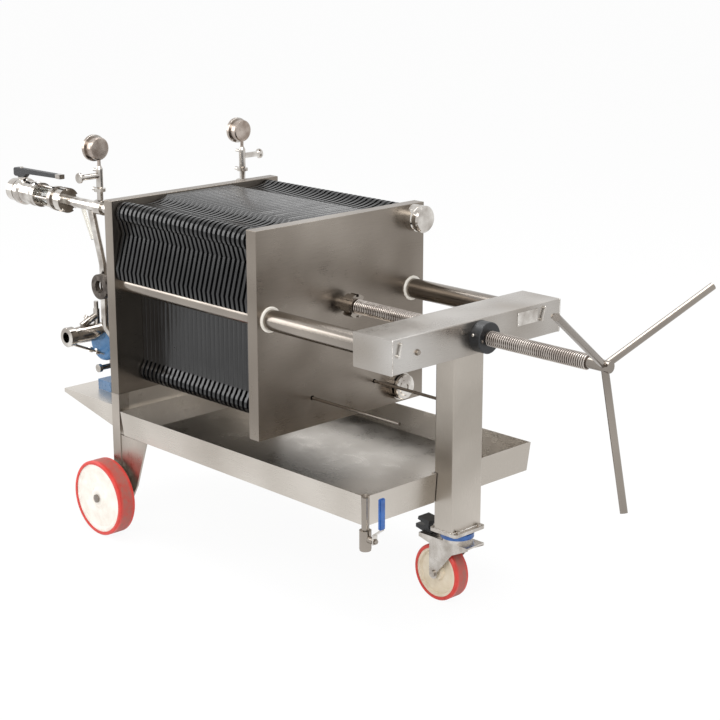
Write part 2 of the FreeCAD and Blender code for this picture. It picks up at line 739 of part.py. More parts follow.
# Port caps on the far side of the moving plate
upper_cap = turned(
    "upper_cap",
    [
        (MOVER_FRONT, "0"),
        (MOVER_FRONT + " + cap_len", "0"),
        (MOVER_FRONT + " + cap_len", "cap_r - 4"),
        (MOVER_FRONT + " + cap_len - 4", "cap_r"),
        (MOVER_FRONT + " + cap_len - 14", "cap_r"),
        (MOVER_FRONT + " + cap_len - 16", "cap_r - 3"),
        (MOVER_FRONT + " + cap_len - 20", "cap_r - 3"),
        (MOVER_FRONT + " + cap_len - 22", "cap_r"),
        (MOVER_FRONT, "cap_r"),
    ],
    ("face_x", "lobe_y", "lobe_z - 2"),
)


def slotted_nut(name, inner, outer, length, count, at):
    body = new_body(name)
    face = sketch(body, name + "_face", "YZ_Plane")
    ring(face, ("0", "0"), outer)
    ring(face, ("0", "0"), inner)
    pad(body, name + "_pad", face, length)
    slot = outline(
        sketch(body, name + "_slot", "YZ_Plane"),
        [
            ("-slot_w / 2", outer + " - slot_deep"),
            ("slot_w / 2", outer + " - slot_deep"),
            ("slot_w / 2", outer + " + 5"),
            ("-slot_w / 2", outer + " + 5"),
        ],
    )
    cutter = pocket(body, name + "_cutter", slot, "3 * (" + length + ")")
    circle = body.newObject("PartDesign::PolarPattern", name + "_slots")
    circle.Originals = [cutter]
    circle.Axis = (face, ["N_Axis"])
    circle.Angle = 360
    circle.Occurrences = count
    body.Tip = circle
    return put(body, at)


plug_nut = slotted_nut(
    "plug_nut", "plug_r - 16", "plug_r", "20", 6, ("face_x + " + MOVER_FRONT, "foot_y", "foot_z")
)
plug = turned(
    "plug",
    [
        (MOVER_FRONT, "0"),
        (MOVER_FRONT + " + plug_len - 3", "0"),
        (MOVER_FRONT + " + plug_len - 3", "8"),
        (MOVER_FRONT + " + plug_len", "9"),
        (MOVER_FRONT + " + plug_len", "plug_r - 16"),
        (MOVER_FRONT + " + plug_len - 2", "plug_r - 14"),
        (MOVER_FRONT + " + plug_len - 2", "plug_r - 6"),
        (MOVER_FRONT + " + plug_len - 4", "plug_r - 4"),
        (MOVER_FRONT + " + 24", "plug_r - 4"),
        (MOVER_FRONT + " + 22", "plug_r - 14"),
        (MOVER_FRONT, "plug_r - 14"),
    ],
    ("face_x", "foot_y", "foot_z"),
)
keep(group("port_caps", upper_cap, fuse("lower_cap", plug_nut, plug)), "port_caps")

# Thrust socket and slotted ring nut that hold the spindle's neck
socket = turned(
    "thrust_socket",
    [
        (MOVER_FRONT, "0"),
        (MOVER_FRONT + " + 4", "0"),
        (MOVER_FRONT + " + 4", "neck_r + fit"),
        (MOVER_FRONT + " + socket_len", "neck_r + fit"),
        (MOVER_FRONT + " + socket_len", "socket_r"),
        (MOVER_FRONT, "socket_r"),
    ],
    ("face_x", "0", "axis_z"),
)
keep(socket, "thrust_socket")


ring_nut = slotted_nut(
    "ring_nut", "neck_r + fit", "ring_r", "ring_len", 6,
    ("face_x + " + MOVER_FRONT + " + socket_len", "0", "axis_z"),
)
keep(ring_nut, "ring_nut")

# Spindle with its turned end, and the three-spoke handle
screw = turned(
    "clamp_screw",
    [
        (MOVER_FRONT + " + 4 + seat", "0"),
        ("screw_end", "0"),
        ("screw_end", "screw_r - 2"),
        ("screw_end - 2", "screw_r"),
        (MOVER_FRONT + " + socket_len + ring_len + seat + 2", "screw_r"),
        (MOVER_FRONT + " + socket_len + ring_len + seat", "screw_r - 2"),
        (MOVER_FRONT + " + socket_len + ring_len + seat", "neck_r"),
        (MOVER_FRONT + " + 4 + seat", "neck_r"),
    ],
    ("face_x", "0", "axis_z"),
)
keep(screw, "clamp_screw")
boss = rod("handle_boss", "boss_r", "boss_len", ("face_x + screw_end", "0", "axis_z"), ALONG_X)
spokes = []
for i in range(3):
    spoke = rod("spoke_%d" % (i + 1), "spoke_r", "spoke_len", ("face_x + spoke_x", "0", "axis_z"))
    spoke.setExpression(
        "Placement.Rotation",
        bound("rotation(vector(1; 0; 0); spoke_turn - 90 + %d) * rotation(vector(0; 1; 0); spoke_lean)" % (120 * i)),
    )
    spokes.append(spoke)
keep(fuse("star_handle", boss, *spokes), "star_handle")


# Rear wheels: nylon core with a red tread, turning on stub axles
def wheel(name, at_y, turn):
    tread = turned(
        name.replace("rear_", "rear_tread_"),
        [
            ("0", "wheel_r - tread_t"),
            ("wheel_w", "wheel_r - tread_t"),
            ("wheel_w", "wheel_r - 3"),
            ("wheel_w - 3", "wheel_r"),
            ("3", "wheel_r"),
            ("0", "wheel_r - 3"),
        ],
        ("face_x + axle_x", at_y, "wheel_r"),
        turn,
    )
    keep(tread, name.replace("rear_", "rear_tread_"))
    core = turned(
        name.replace("rear_", "rear_core_"),
        [
            ("0.5", "axle_r + fit"),
            ("0.5", "22"),
            ("5", "30"),
            ("5", "wheel_r - tread_t - 14"),
            ("3", "wheel_r - tread_t - 8"),
            ("3", "wheel_r - tread_t - seat / 2"),
            ("wheel_w - 3", "wheel_r - tread_t - seat / 2"),
            ("wheel_w - 3", "wheel_r - tread_t - 8"),
            ("wheel_w - 5", "wheel_r - tread_t - 14"),
            ("wheel_w - 5", "30"),
            ("wheel_w - 0.5", "22"),
            ("wheel_w - 0.5", "axle_r + fit"),
        ],
        ("face_x + axle_x", at_y, "wheel_r"),
        turn,
    )
    keep(core, name.replace("rear_", "rear_core_"))


wheel("rear_far", "plate_w / 2 + wheel_gap", TURN_TO_Y)
wheel("rear_near", "-plate_w / 2 - wheel_gap - wheel_w", TURN_TO_Y)
axle = turned(
    "axle_far",
    [
        ("seat", "0"),
        ("wheel_gap + wheel_w + 6", "0"),
        ("wheel_gap + wheel_w + 6", "5"),
        ("wheel_gap + wheel_w + 4", "11"),
        ("wheel_gap + wheel_w + seat", "11"),
        ("wheel_gap + wheel_w + seat", "axle_r"),
        ("wheel_gap", "axle_r"),
        ("wheel_gap", "15"),
        ("seat", "15"),
    ],
    ("face_x + axle_x", "plate_w / 2", "wheel_r"),
    TURN_TO_Y,
)
keep(group("rear_axles", axle, mirrored("axle_near", axle)), "rear_axles")

# Swivel caster under the column
SWIVEL_X = "face_x + beam_x + beam_d / 2"
base = new_body("caster_plate")
base_outline = outline(
    sketch(base, "base_outline", "XY_Plane", "post_low - base_t"),
    rounded("-base_d / 2", "-base_w / 2", "base_d / 2", "base_w / 2", "base_round"),
)
pad(base, "base_pad", base_outline, "base_t")
put(base, (SWIVEL_X, "0", "0"))
keep(base, "caster_plate")
seal = turned(
    "swivel_seal",
    [
        ("-16", "0"),
        ("0", "0"),
        ("0", "34"),
        ("-5", "40"),
        ("-16", "40"),
    ],
    (SWIVEL_X, "0", "post_low - base_t"),
    TURN_TO_Z,
)
keep(seal, "swivel_seal")

fork = new_body("caster_fork")
FORK_HALF = "caster_w / 2 + fork_gap"
fork_side = outline(
    sketch(fork, "fork_side", "XZ_Plane"),
    [
        ("-trail - 13", "caster_r"),
        ("-trail", "caster_r - 13", "13", -1),
        ("-trail + 12", "caster_r + 5", "13", -1),
        ("10", "crown_z - 26"),
        ("58", "crown_z - 3"),
        ("58", "crown_z + fork_t"),
        ("-97", "crown_z + fork_t"),
        ("-97", "crown_z - 6"),
        ("-trail - 13", "crown_z - 14"),
    ],
)
pad(fork, "fork_pad", fork_side, "caster_w + 2 * fork_gap + 2 * fork_t", both=True)
fork_gap = outline(
    sketch(fork, "fork_opening", "XZ_Plane"),
    [
        ("-trail - 44", "caster_r - 60"),
        ("70", "caster_r - 60"),
        ("70", "crown_z"),
        ("-trail - 44", "crown_z"),
    ],
)
pocket(fork, "fork_cut", fork_gap, "caster_w + 2 * fork_gap")
table = ring(sketch(fork, "fork_table", "XY_Plane", "crown_z + fork_t"), ("0", "0"), "36")
pad(fork, "fork_table_pad", table, "post_low - base_t - 16 - seat - crown_z - fork_t")
pin = ring(sketch(fork, "fork_pin", "XZ_Plane", "-(caster_w / 2 + fork_gap + fork_t + 5)"), ("-trail", "caster_r"), "caster_axle_r")
pad(fork, "fork_pin_pad", pin, "caster_w + 2 * fork_gap + 2 * fork_t + 10")
put(fork, (SWIVEL_X, "0", "0"))
keep(fork, "caster_fork")

caster_tread = turned(
    "caster_tread",
    [
        ("0", "caster_r - tread_t"),
        ("caster_w", "caster_r - tread_t"),
        ("caster_w", "caster_r - 3"),
        ("caster_w - 3", "caster_r"),
        ("3", "caster_r"),
        ("0", "caster_r - 3"),
    ],
    (SWIVEL_X + " - trail", "-caster_w / 2", "caster_r"),
    TURN_TO_Y,
)
keep(caster_tread, "caster_tread")
caster_core = turned(
    "caster_core",
    [
        ("0", "caster_axle_r + fit"),
        ("0", "18"),
        ("9", "22"),
        ("9", "caster_r - tread_t - 9"),
        ("2", "caster_r - tread_t - 6"),
        ("2", "caster_r - tread_t - seat / 2"),
        ("caster_w - 2", "caster_r - tread_t - seat / 2"),
        ("caster_w - 2", "caster_r - tread_t - 6"),
        ("caster_w - 9", "caster_r - tread_t - 9"),
        ("caster_w - 9", "22"),
        ("caster_w", "18"),
        ("caster_w", "caster_axle_r + fit"),
    ],
    (SWIVEL_X + " - trail", "-caster_w / 2", "caster_r"),
    TURN_TO_Y,
)
keep(caster_core, "caster_core")
pedal = new_body("brake_pedal")
pedal_side = outline(
    sketch(pedal, "pedal_side", "XZ_Plane"),
    [
        ("-66", "crown_z + fork_t + seat"),
        ("-66", "crown_z + 10"),
        ("-76", "crown_z + 16"),
        ("-76", "crown_z + 26"),
        ("-74", "crown_z + 34"),
        ("-110", "crown_z + 38"),
        ("-112", "crown_z + 30"),
        ("-88", "crown_z + 24"),
        ("-88", "crown_z + 20"),
        ("-118", "crown_z + 18"),
        ("-118", "crown_z + 9"),
        ("-96", "crown_z + fork_t + seat"),
    ],
)
pad(pedal, "pedal_pad", pedal_side, "36", both=True)
put(pedal, (SWIVEL_X, "0", "0"))
keep(pedal, "brake_pedal")

# Outlet line behind the near upper port, running away from the press
LINE = ("face_x - fixed_thick", "-line_y", "line_z")
pipe = turned(
    "outlet_pipe",
    [
        ("0", "bore_r"),
        ("union_x - seat", "bore_r"),
        ("union_x - seat", "pipe_r"),
        ("tee_x + 16", "pipe_r"),
        ("tee_x + 16", "saddle_r"),
        ("tee_x - 16", "saddle_r"),
        ("tee_x - 16", "pipe_r"),
        ("ferrule_t", "pipe_r"),
        ("ferrule_t", "ferrule_r"),
        ("0", "ferrule_r"),
    ],
    LINE,
    TURN_TO_BACK,
)
keep(pipe, "outlet_pipe")
union = slotted_nut(
    "union_nut", "bore_r", "union_r", "union_len", 5,
    ("face_x - fixed_thick - union_x - union_len", "-line_y", "line_z"),
)
keep(union, "union_nut")
liner = turned(
    "union_liner",
    [
        ("union_x + union_len + seat", "bore_r"),
        ("cage_x - seat", "bore_r"),
        ("cage_x - seat", "cage_r - 5"),
        ("union_x + union_len + seat", "cage_r - 5"),
    ],
    LINE,
    TURN_TO_BACK,
)
keep(liner, "union_liner")

cage = new_body("sight_glass_cage")
cage_face = sketch(cage, "cage_face", "YZ_Plane")
ring(cage_face, ("0", "0"), "cage_r")
ring(cage_face, ("0", "0"), "bore_r")
pad(cage, "cage_flange", cage_face, "cage_t")
cage_back = sketch(cage, "cage_back", "YZ_Plane", "cage_len - cage_t")
ring(cage_back, ("0", "0"), "cage_r")
ring(cage_back, ("0", "0"), "bore_r")
pad(cage, "cage_flange_back", cage_back, "cage_t")
cage_rod = ring(sketch(cage, "cage_rod", "YZ_Plane", "cage_t - 1"), ("cage_pcd_r", "0"), "cage_rod_r")
cage_rod_pad = pad(cage, "cage_rod_pad", cage_rod, "cage_len - 2 * cage_t + 2")
cage_rods = cage.newObject("PartDesign::PolarPattern", "cage_rods")
cage_rods.Originals = [cage_rod_pad]
cage_rods.Axis = (cage_face, ["N_Axis"])
cage_rods.Angle = 360
cage_rods.Occurrences = 4
cage.Tip = cage_rods
put(cage, ("face_x - fixed_thick - cage_x - cage_len", "-line_y", "line_z"))
keep(cage, "sight_glass_cage")
glass = turned(
    "sight_glass",
    [
        ("cage_x + cage_t + seat", "glass_r - glass_t"),
        ("cage_x + cage_len - cage_t - seat", "glass_r - glass_t"),
        ("cage_x + cage_len - cage_t - seat", "glass_r"),
        ("cage_x + cage_t + seat", "glass_r"),
    ],
    LINE,
    TURN_TO_BACK,
)
keep(glass, "sight_glass")
valve = turned(
    "outlet_valve",
    [
        ("valve_x + seat", "bore_r"),
        ("valve_x + valve_len + spigot_len", "bore_r"),
        ("valve_x + valve_len + spigot_len", "spigot_r - 2"),
        ("valve_x + valve_len + spigot_len - 3", "spigot_r"),
        ("valve_x + valve_len + 8", "spigot_r"),
        ("valve_x + valve_len + 8", "spigot_r - 5"),
        ("valve_x + valve_len", "spigot_r - 5"),
        ("valve_x + valve_len", "valve_r - 4"),
        ("valve_x + valve_len - 4", "valve_r"),
        ("valve_x + valve_len - 20", "valve_r"),
        ("valve_x + valve_len - 24", "valve_r - 5"),
        ("valve_x + 22", "valve_r - 7"),
        ("valve_x + 18", "valve_r - 3"),
        ("valve_x + 8", "valve_r - 3"),
        ("valve_x + 5", "valve_r - 6"),
        ("valve_x + seat", "valve_r - 6"),
    ],
    LINE,
    TURN_TO_BACK,
)
valve_neck = rod(
    "valve_neck", "14", "stem_top - 14 - line_z - valve_r + 5",
    ("face_x - fixed_thick - stem_x", "-line_y", "line_z + valve_r - 5"),
)
keep(fuse("outlet_valve_body", valve, valve_neck), "outlet_valve_body")

grip = new_body("outlet_valve_lever")
grip_face = outline(
    sketch(grip, "grip_face", "XZ_Plane"),
    [
        ("-33", "stem_top - 10"),
        ("-28", "stem_top - 14 + seat"),
        ("14", "stem_top - 14 + seat"),
        ("26", "stem_top - 3"),
        ("grip_len", "stem_top + 2"),
        ("grip_len", "stem_top + 2 + grip_t"),
        ("-28", "stem_top - 1 + grip_t"),
        ("-33", "stem_top - 5 + grip_t"),
    ],
)
pad(grip, "grip_pad", grip_face, "grip_w", both=True)
put(grip, ("face_x - fixed_thick - stem_x", "-line_y", "0"))
keep(grip, "outlet_valve_lever")

# Bent tubes follow a path of straight runs with rounded corners
def bent_tube(points, r, bend, inner=None):
    path = []
    start = points[0]
    for i in range(1, len(points) - 1):
        corner = points[i]
        back = start - corner
        ahead = points[i + 1] - corner
        back.normalize()
        ahead.normalize()
        half = back.getAngle(ahead) / 2
        leave = bend / math.tan(half)
        first = corner + back * leave
        last = corner + ahead * leave
        towards = (back + ahead).normalize()
        middle = corner + towards * (bend / math.sin(half) - bend)
        path.append(Part.LineSegment(start, first).toShape())
        path.append(Part.Arc(first, middle, last).toShape())
        start = last
    path.append(Part.LineSegment(start, points[-1]).toShape())
    wire = Part.Wire(path)
    heading = points[1] - points[0]
    face = Part.Wire(Part.makeCircle(r, points[0], heading))
    tube = wire.makePipeShell([face], True, True)
    if inner is None:
        return tube
    hole = wire.makePipeShell([Part.Wire(Part.makeCircle(inner, points[0], heading))], True, True)
    return tube.cut(hole)


def spot(x, y, z):
    return Vector(number(x), number(y), number(z))


def formed(label, shape, at=("face_x", "0", "0")):
    thing = doc.addObject("Part::Feature", label)
    thing.Shape = shape
    thing.Placement = Placement(Vector(number(at[0]), number(at[1]), number(at[2])), Rotation())
    return keep(thing, label)


# Collector pipes to the lower ports, and the clear bleed tube that leaves the outlet pipe downwards
def post_hole(r, x, y, z, towards):
    return Part.makeCylinder(number(r), number("plate_tall"), spot(x, y, z), towards)


def port_flange(side):
    at = spot("-fixed_thick - 6", side + "foot_y", "foot_z")
    return Part.makeCylinder(number("branch_r + 9"), 6, at, Vector(1, 0, 0))


near_tube = bent_tube(
    [
        spot("tap_off_x", "-line_y", "line_z"),
        spot("-fixed_thick - tee_x", "-line_y", "line_z - 150"),
        spot("-fixed_thick - tee_x", "-line_y", "foot_z + 110"),
        spot("-fixed_thick - 26", "-foot_y", "foot_z"),
        spot("-fixed_thick", "-foot_y", "foot_z"),
    ],
    number("branch_r"),
    18,
)
header = post_hole("pipe_r + seat", "-plate_tall", "-line_y", "line_z", Vector(1, 0, 0))
near_collector = near_tube.cut(header).fuse(port_flange("-")).removeSplitter()
far_tube = bent_tube(
    [
        spot("-fixed_thick - tee_x", "line_y", "riser_z + 70"),
        spot("-fixed_thick - 32", "line_y", "riser_z + 60"),
        spot("-fixed_thick - 32", "foot_y", "foot_z"),
        spot("-fixed_thick", "foot_y", "foot_z"),
    ],
    number("branch_r"),
    18,
)
riser_hole = post_hole("pipe_r + seat", "-fixed_thick - tee_x", "line_y", "riser_z", Vector(0, 0, 1))
far_collector = far_tube.cut(riser_hole).fuse(port_flange("")).removeSplitter()
formed("collector_pipes", Part.makeCompound([near_collector, far_collector]))
bleed = Part.makeCylinder(
    number("bleed_r"),
    number("line_z - 750"),
    spot("tap_off_x - 40", "-line_y", "line_z"),
    spot("tap_off_x + 12", "-line_y", "750") - spot("tap_off_x - 40", "-line_y", "line_z"),
)
collector_air = near_tube.makeOffsetShape(number("seat"), 0.01)
formed("bleed_tube", bleed.cut(header).cut(collector_air))

# Pump on the shelf, its axis across the press, with its mouth above the shaft
PUMP_AT = "face_x + pump_x"
mouth = turned(
    "pump_mouth_body",
    [
        ("0", "14"),
        ("0", "24"),
        ("2", "26"),
        ("20", "26"),
        ("20", "pump_head_r - 2"),
        ("26", "pump_head_r - 2"),
        ("40", "pump_head_r"),
        ("109", "pump_head_r + 2"),
        ("109", "0"),
        ("60", "0"),
        ("60", "14"),
    ],
    (PUMP_AT, "pump_mouth", "pump_z"),
    TURN_TO_Y,
)
bypass = rod(
    "pump_bypass", "9", "48", (PUMP_AT, "pump_mouth + 51", "pump_z + 23"), Rotation(Vector(1, 0, 0), -66)
)
nipple = rod("pump_nipple", "8.5", "54", (PUMP_AT, "pump_mouth + 99", "pump_z + 8"))
nipple_tip = rod("pump_nipple_tip", "6", "74", (PUMP_AT, "pump_mouth + 99", "pump_z + 8"))
bleed_screw = rod(
    "bleed_screw", "3", "50", (PUMP_AT + " - 18", "pump_mouth + 50", "pump_z"), Rotation(Vector(1, 0, 0), -37)
)
bleed_knob = rod(
    "bleed_knob",
    "6",
    "9",
    (PUMP_AT + " - 18", "pump_mouth + 76", "pump_z + 35"),
    Rotation(Vector(1, 0, 0), -37),
)
ties = []
for i, shift in enumerate((" - 15", " + 15")):
    tie = rod(
        "pump_tie_%d" % (i + 1),
        "3.5",
        "98",
        (PUMP_AT + shift, "pump_mouth + 17", "pump_z - 20"),
        Rotation(Vector(1, 0, 0), -114),
    )
    tie_nut = rod(
        "pump_tie_nut_%d" % (i + 1),
        "7",
        "12",
        (PUMP_AT + shift, "pump_mouth + 80", "pump_z - 48"),
        Rotation(Vector(1, 0, 0), -114),
    )
    ties += [tie, tie_nut]
head = fuse("pump_head_solid", mouth, bypass, nipple, nipple_tip, bleed_screw, bleed_knob, *ties)
drain_cap = rod("pump_drain_cap", "11", "9", (PUMP_AT, "pump_mouth + 97", "shaft_z - 69"), ALONG_Y)
drain_run = rod("pump_drain_run", "7", "50", (PUMP_AT, "pump_mouth + 100", "shaft_z - 69"), ALONG_Y)
drain_rise = rod(
    "pump_drain_rise", "6", "69 - pump_case_r - seat", (PUMP_AT, "pump_mouth + 142", "shaft_z - 69")
)
keep(group("pump_head", head, fuse("pump_drain", drain_cap, drain_run, drain_rise)), "pump_head")
casing = turned(
    "pump_casing",
    [
        ("109 + seat", "0"),
        ("109 + seat", "pump_case_r - 7"),
        ("113", "pump_case_r - 2"),
        ("119", "pump_case_r"),
        ("150", "pump_case_r"),
        ("156", "pump_case_r - 5"),
        ("212", "pump_case_r - 5"),
        ("212", "motor_r - 4"),
        ("222", "motor_r"),
        ("motor_end - pump_mouth - 50", "motor_r"),
        ("motor_end - pump_mouth - 50", "motor_r + 3"),
        ("motor_end - pump_mouth - 8", "motor_r + 3"),
        ("motor_end - pump_mouth", "motor_r - 8"),
        ("motor_end - pump_mouth", "0"),
    ],
    (PUMP_AT, "pump_mouth", "shaft_z"),
    TURN_TO_Y,
)
outlet = rod("pump_outlet", "20", "pump_case_r + 14", (PUMP_AT, "outlet_y", "shaft_z"))
sole = block(
    "pump_sole", ("56", "306", "foot_tall"), (PUMP_AT + " - 28", "pump_mouth + 116", "shelf_z")
)
saddle = block(
    "pump_saddle",
    ("56", "150", "shaft_z - shelf_z - motor_r + 12"),
    (PUMP_AT + " - 28", "motor_end - 170", "shelf_z"),
)
terminal = block(
    "pump_terminal_box", ("80", "90", "38"), (PUMP_AT + " - 40", "motor_end - 160", "shaft_z + motor_r - 10")
)
keep(fuse("pump_motor", casing, outlet, sole, saddle, terminal), "pump_motor")

# Inlet pipe: from the pump to the riser behind the far edge, and up to the far upper port
RISER_X = "-fixed_thick - tee_x"
inlet_tube = bent_tube(
    [
        spot(RISER_X, "line_y", "line_z"),
        spot(RISER_X, "line_y", "riser_z"),
        spot("pump_x", "outlet_y", "riser_z"),
        spot("pump_x", "outlet_y", "shaft_z + pump_case_r + 14 + seat"),
    ],
    number("pipe_r"),
    28,
)
far_header = Part.makeCylinder(
    number("pipe_r"), number("tee_x + pipe_r"), spot(RISER_X + " - pipe_r", "line_y", "line_z"), Vector(1, 0, 0)
)
far_saddle = Part.makeCylinder(
    number("saddle_r"), 32, spot(RISER_X + " - 16", "line_y", "line_z"), Vector(1, 0, 0)
)
far_flange = Part.makeCylinder(
    number("ferrule_r"), number("ferrule_t"), spot("-fixed_thick - ferrule_t", "line_y", "line_z"), Vector(1, 0, 0)
)
formed("inlet_pipe", inlet_tube.fuse([far_header, far_saddle, far_flange]).removeSplitter())

# Gauge tees and pressure gauges
TEE_X = "face_x - fixed_thick - tee_x"
tee_body = turned(
    "tee_body",
    [
        ("saddle_r + seat", "0"),
        ("saddle_r + seat", "8"),
        ("42", "8"),
        ("42", "15"),
        ("50", "15"),
        ("50", "tee_r - 2"),
        ("54", "tee_r"),
        ("tee_top - line_z - 8", "tee_r"),
        ("tee_top - line_z", "6"),
        ("tee_top - line_z", "0"),
    ],
    (TEE_X, "-line_y", "line_z"),
    TURN_TO_Z,
)
tee_stub = turned(
    "tee_stub",
    [
        ("-4", "0"),
        ("-66", "0"),
        ("-66", "12.5"),
        ("-64", "13.5"),
        ("-60", "13.5"),
        ("-57", "9"),
        ("-50", "7.5"),
        ("-4", "7.5"),
    ],
    (TEE_X, "-line_y", "tee_top - 25"),
    TURN_TO_Y,
)
tee_screw = rod("tee_screw", "4", "22", (TEE_X + " - 24", "-line_y", "tee_top - 12"), ALONG_X)
clamp_screw_side = rod("tee_clamp_screw", "5", "26", (TEE_X + " - 28", "-line_y", "line_z + 46"), ALONG_X)
tee = fuse("tee_near", tee_body, tee_stub, tee_screw, clamp_screw_side)
keep(group("gauge_tees", tee, mirrored("tee_far", tee)), "gauge_tees")
gauge_case = turned(
    "gauge_case",
    [
        ("-6", "0"),
        ("-6", "gauge_r - 8"),
        ("-4", "gauge_r - 5"),
        ("gauge_t - 14", "gauge_r - 5"),
        ("gauge_t - 14", "gauge_r"),
        ("gauge_t - 6", "gauge_r"),
        ("gauge_t - 6", "gauge_r - 3"),
        ("gauge_t - 9", "gauge_r - 3"),
        ("gauge_t - 9", "0"),
    ],
    (TEE_X, "-line_y", "gauge_z"),
    TURN_TO_BACK,
)
gauge_stem = rod(
    "gauge_stem", "4.5", "gauge_z - gauge_r + 6 - tee_top - seat", (TEE_X, "-line_y", "tee_top + seat")
)
gauge = fuse("gauge_near", gauge_case, gauge_stem)
keep(group("pressure_gauges", gauge, mirrored("gauge_far", gauge)), "pressure_gauges")

# Eye rings at the rear ends of the side bars
EYE_X = "face_x - fixed_thick - eye_r - 17"
eye_disc = rod("eye_disc", "eye_r", "eye_t", (EYE_X, "-eye_y - eye_t / 2", "eye_z"), ALONG_Y)
eye_foot = block(
    "eye_foot",
    ("17 + eye_r - eye_hole_r - 3", "eye_t", "24"),
    (EYE_X + " + eye_hole_r + 3", "-eye_y - eye_t / 2", "eye_z - 12"),
)
eye_hole = rod("eye_hole", "eye_hole_r", "eye_t + 10", (EYE_X, "-eye_y - eye_t / 2 - 5", "eye_z"), ALONG_Y)
eye = cut("eye_near", fuse("eye_solid", eye_disc, eye_foot), eye_hole)
keep(group("eye_rings", eye, mirrored("eye_far", eye)), "eye_rings")

doc.recompute()
os.makedirs("parts", exist_ok=True)
for thing in doc.Objects:
    if "Invalid" in thing.State or "Error" in thing.State:
        raise RuntimeError(thing.Name + " did not build")
for thing in parts:
    if thing.Shape.isNull() or not thing.Shape.isValid():
        raise RuntimeError(thing.Label + " has no valid shape")
for thing in parts:
    thing.Shape.exportStep("parts/" + thing.Label + ".step")
    box = thing.Shape.BoundBox
    print(
        "%-20s %3d solids  X %7.1f %7.1f  Y %7.1f %7.1f  Z %7.1f %7.1f"
        % (thing.Label, len(thing.Shape.Solids), box.XMin, box.XMax, box.YMin, box.YMax, box.ZMin, box.ZMax)
    )
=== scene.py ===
import json
import math

import bmesh
import bpy
from mathutils import Euler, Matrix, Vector


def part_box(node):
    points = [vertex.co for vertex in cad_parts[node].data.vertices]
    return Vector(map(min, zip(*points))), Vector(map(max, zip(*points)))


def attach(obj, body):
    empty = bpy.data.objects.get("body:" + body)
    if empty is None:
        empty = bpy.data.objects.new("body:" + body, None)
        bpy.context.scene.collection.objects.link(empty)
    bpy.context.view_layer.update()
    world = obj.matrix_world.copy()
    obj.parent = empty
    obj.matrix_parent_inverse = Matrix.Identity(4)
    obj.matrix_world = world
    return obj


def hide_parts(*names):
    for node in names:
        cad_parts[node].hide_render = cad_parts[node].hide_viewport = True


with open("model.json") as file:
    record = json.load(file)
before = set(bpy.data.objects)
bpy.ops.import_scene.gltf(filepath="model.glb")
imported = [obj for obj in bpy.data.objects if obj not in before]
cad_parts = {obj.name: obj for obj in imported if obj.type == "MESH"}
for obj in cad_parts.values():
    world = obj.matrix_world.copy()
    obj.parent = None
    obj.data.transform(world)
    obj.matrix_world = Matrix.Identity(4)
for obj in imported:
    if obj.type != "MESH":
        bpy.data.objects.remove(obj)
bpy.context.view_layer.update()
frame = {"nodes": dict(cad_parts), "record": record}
nodes = frame["nodes"]
mm = 0.001
boxes = {name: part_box(name) for name in nodes}


def hexColour(text):
    parts = [int(text[i : i + 2], 16) / 255 for i in (1, 3, 5)]
    linear = [p / 12.92 if p <= 0.04045 else ((p + 0.055) / 1.055) ** 2.4 for p in parts]
    return (*linear, 1.0)


def addNode(tree, kind, settings=None, links=None):
    node = tree.nodes.new(kind)
    for key, value in (settings or {}).items():
        if isinstance(key, str) and hasattr(node, key):
            setattr(node, key, value)
        else:
            node.inputs[key].default_value = value
    for key, source in (links or {}).items():
        tree.links.new(source, node.inputs[key])
    return node


def newMaterial(name):
    material = bpy.data.materials.new(name)
    material.use_nodes = True
    tree = material.node_tree
    tree.nodes.clear()
    return material, tree


def closeMaterial(tree, shader):
    addNode(tree, "ShaderNodeOutputMaterial", links={"Surface": shader.outputs[0]})


def spots(tree, source, perMm, detail=3, rough=0.55, stretch=(1, 1, 1)):
    scale = 1 / (perMm * mm)
    mapping = addNode(
        tree,
        "ShaderNodeMapping",
        {"Scale": tuple(scale / s for s in stretch)},
        {"Vector": source},
    )
    return addNode(
        tree,
        "ShaderNodeTexNoise",
        {"Scale": 1.0, "Detail": detail, "Roughness": rough},
        {"Vector": mapping.outputs[0]},
    ).outputs["Fac"]


def remap(tree, value, low, high, toLow, toHigh):
    return addNode(
        tree,
        "ShaderNodeMapRange",
        {"From Min": low, "From Max": high, "To Min": toLow, "To Max": toHigh},
        {"Value": value},
    ).outputs[0]


def mixColour(tree, factor, first, second):
    node = addNode(tree, "ShaderNodeMix", {"data_type": "RGBA"})
    for socket, value in ((0, factor), (6, first), (7, second)):
        if isinstance(value, (tuple, float)):
            node.inputs[socket].default_value = value
        else:
            tree.links.new(value, node.inputs[socket])
    return node.outputs[2]


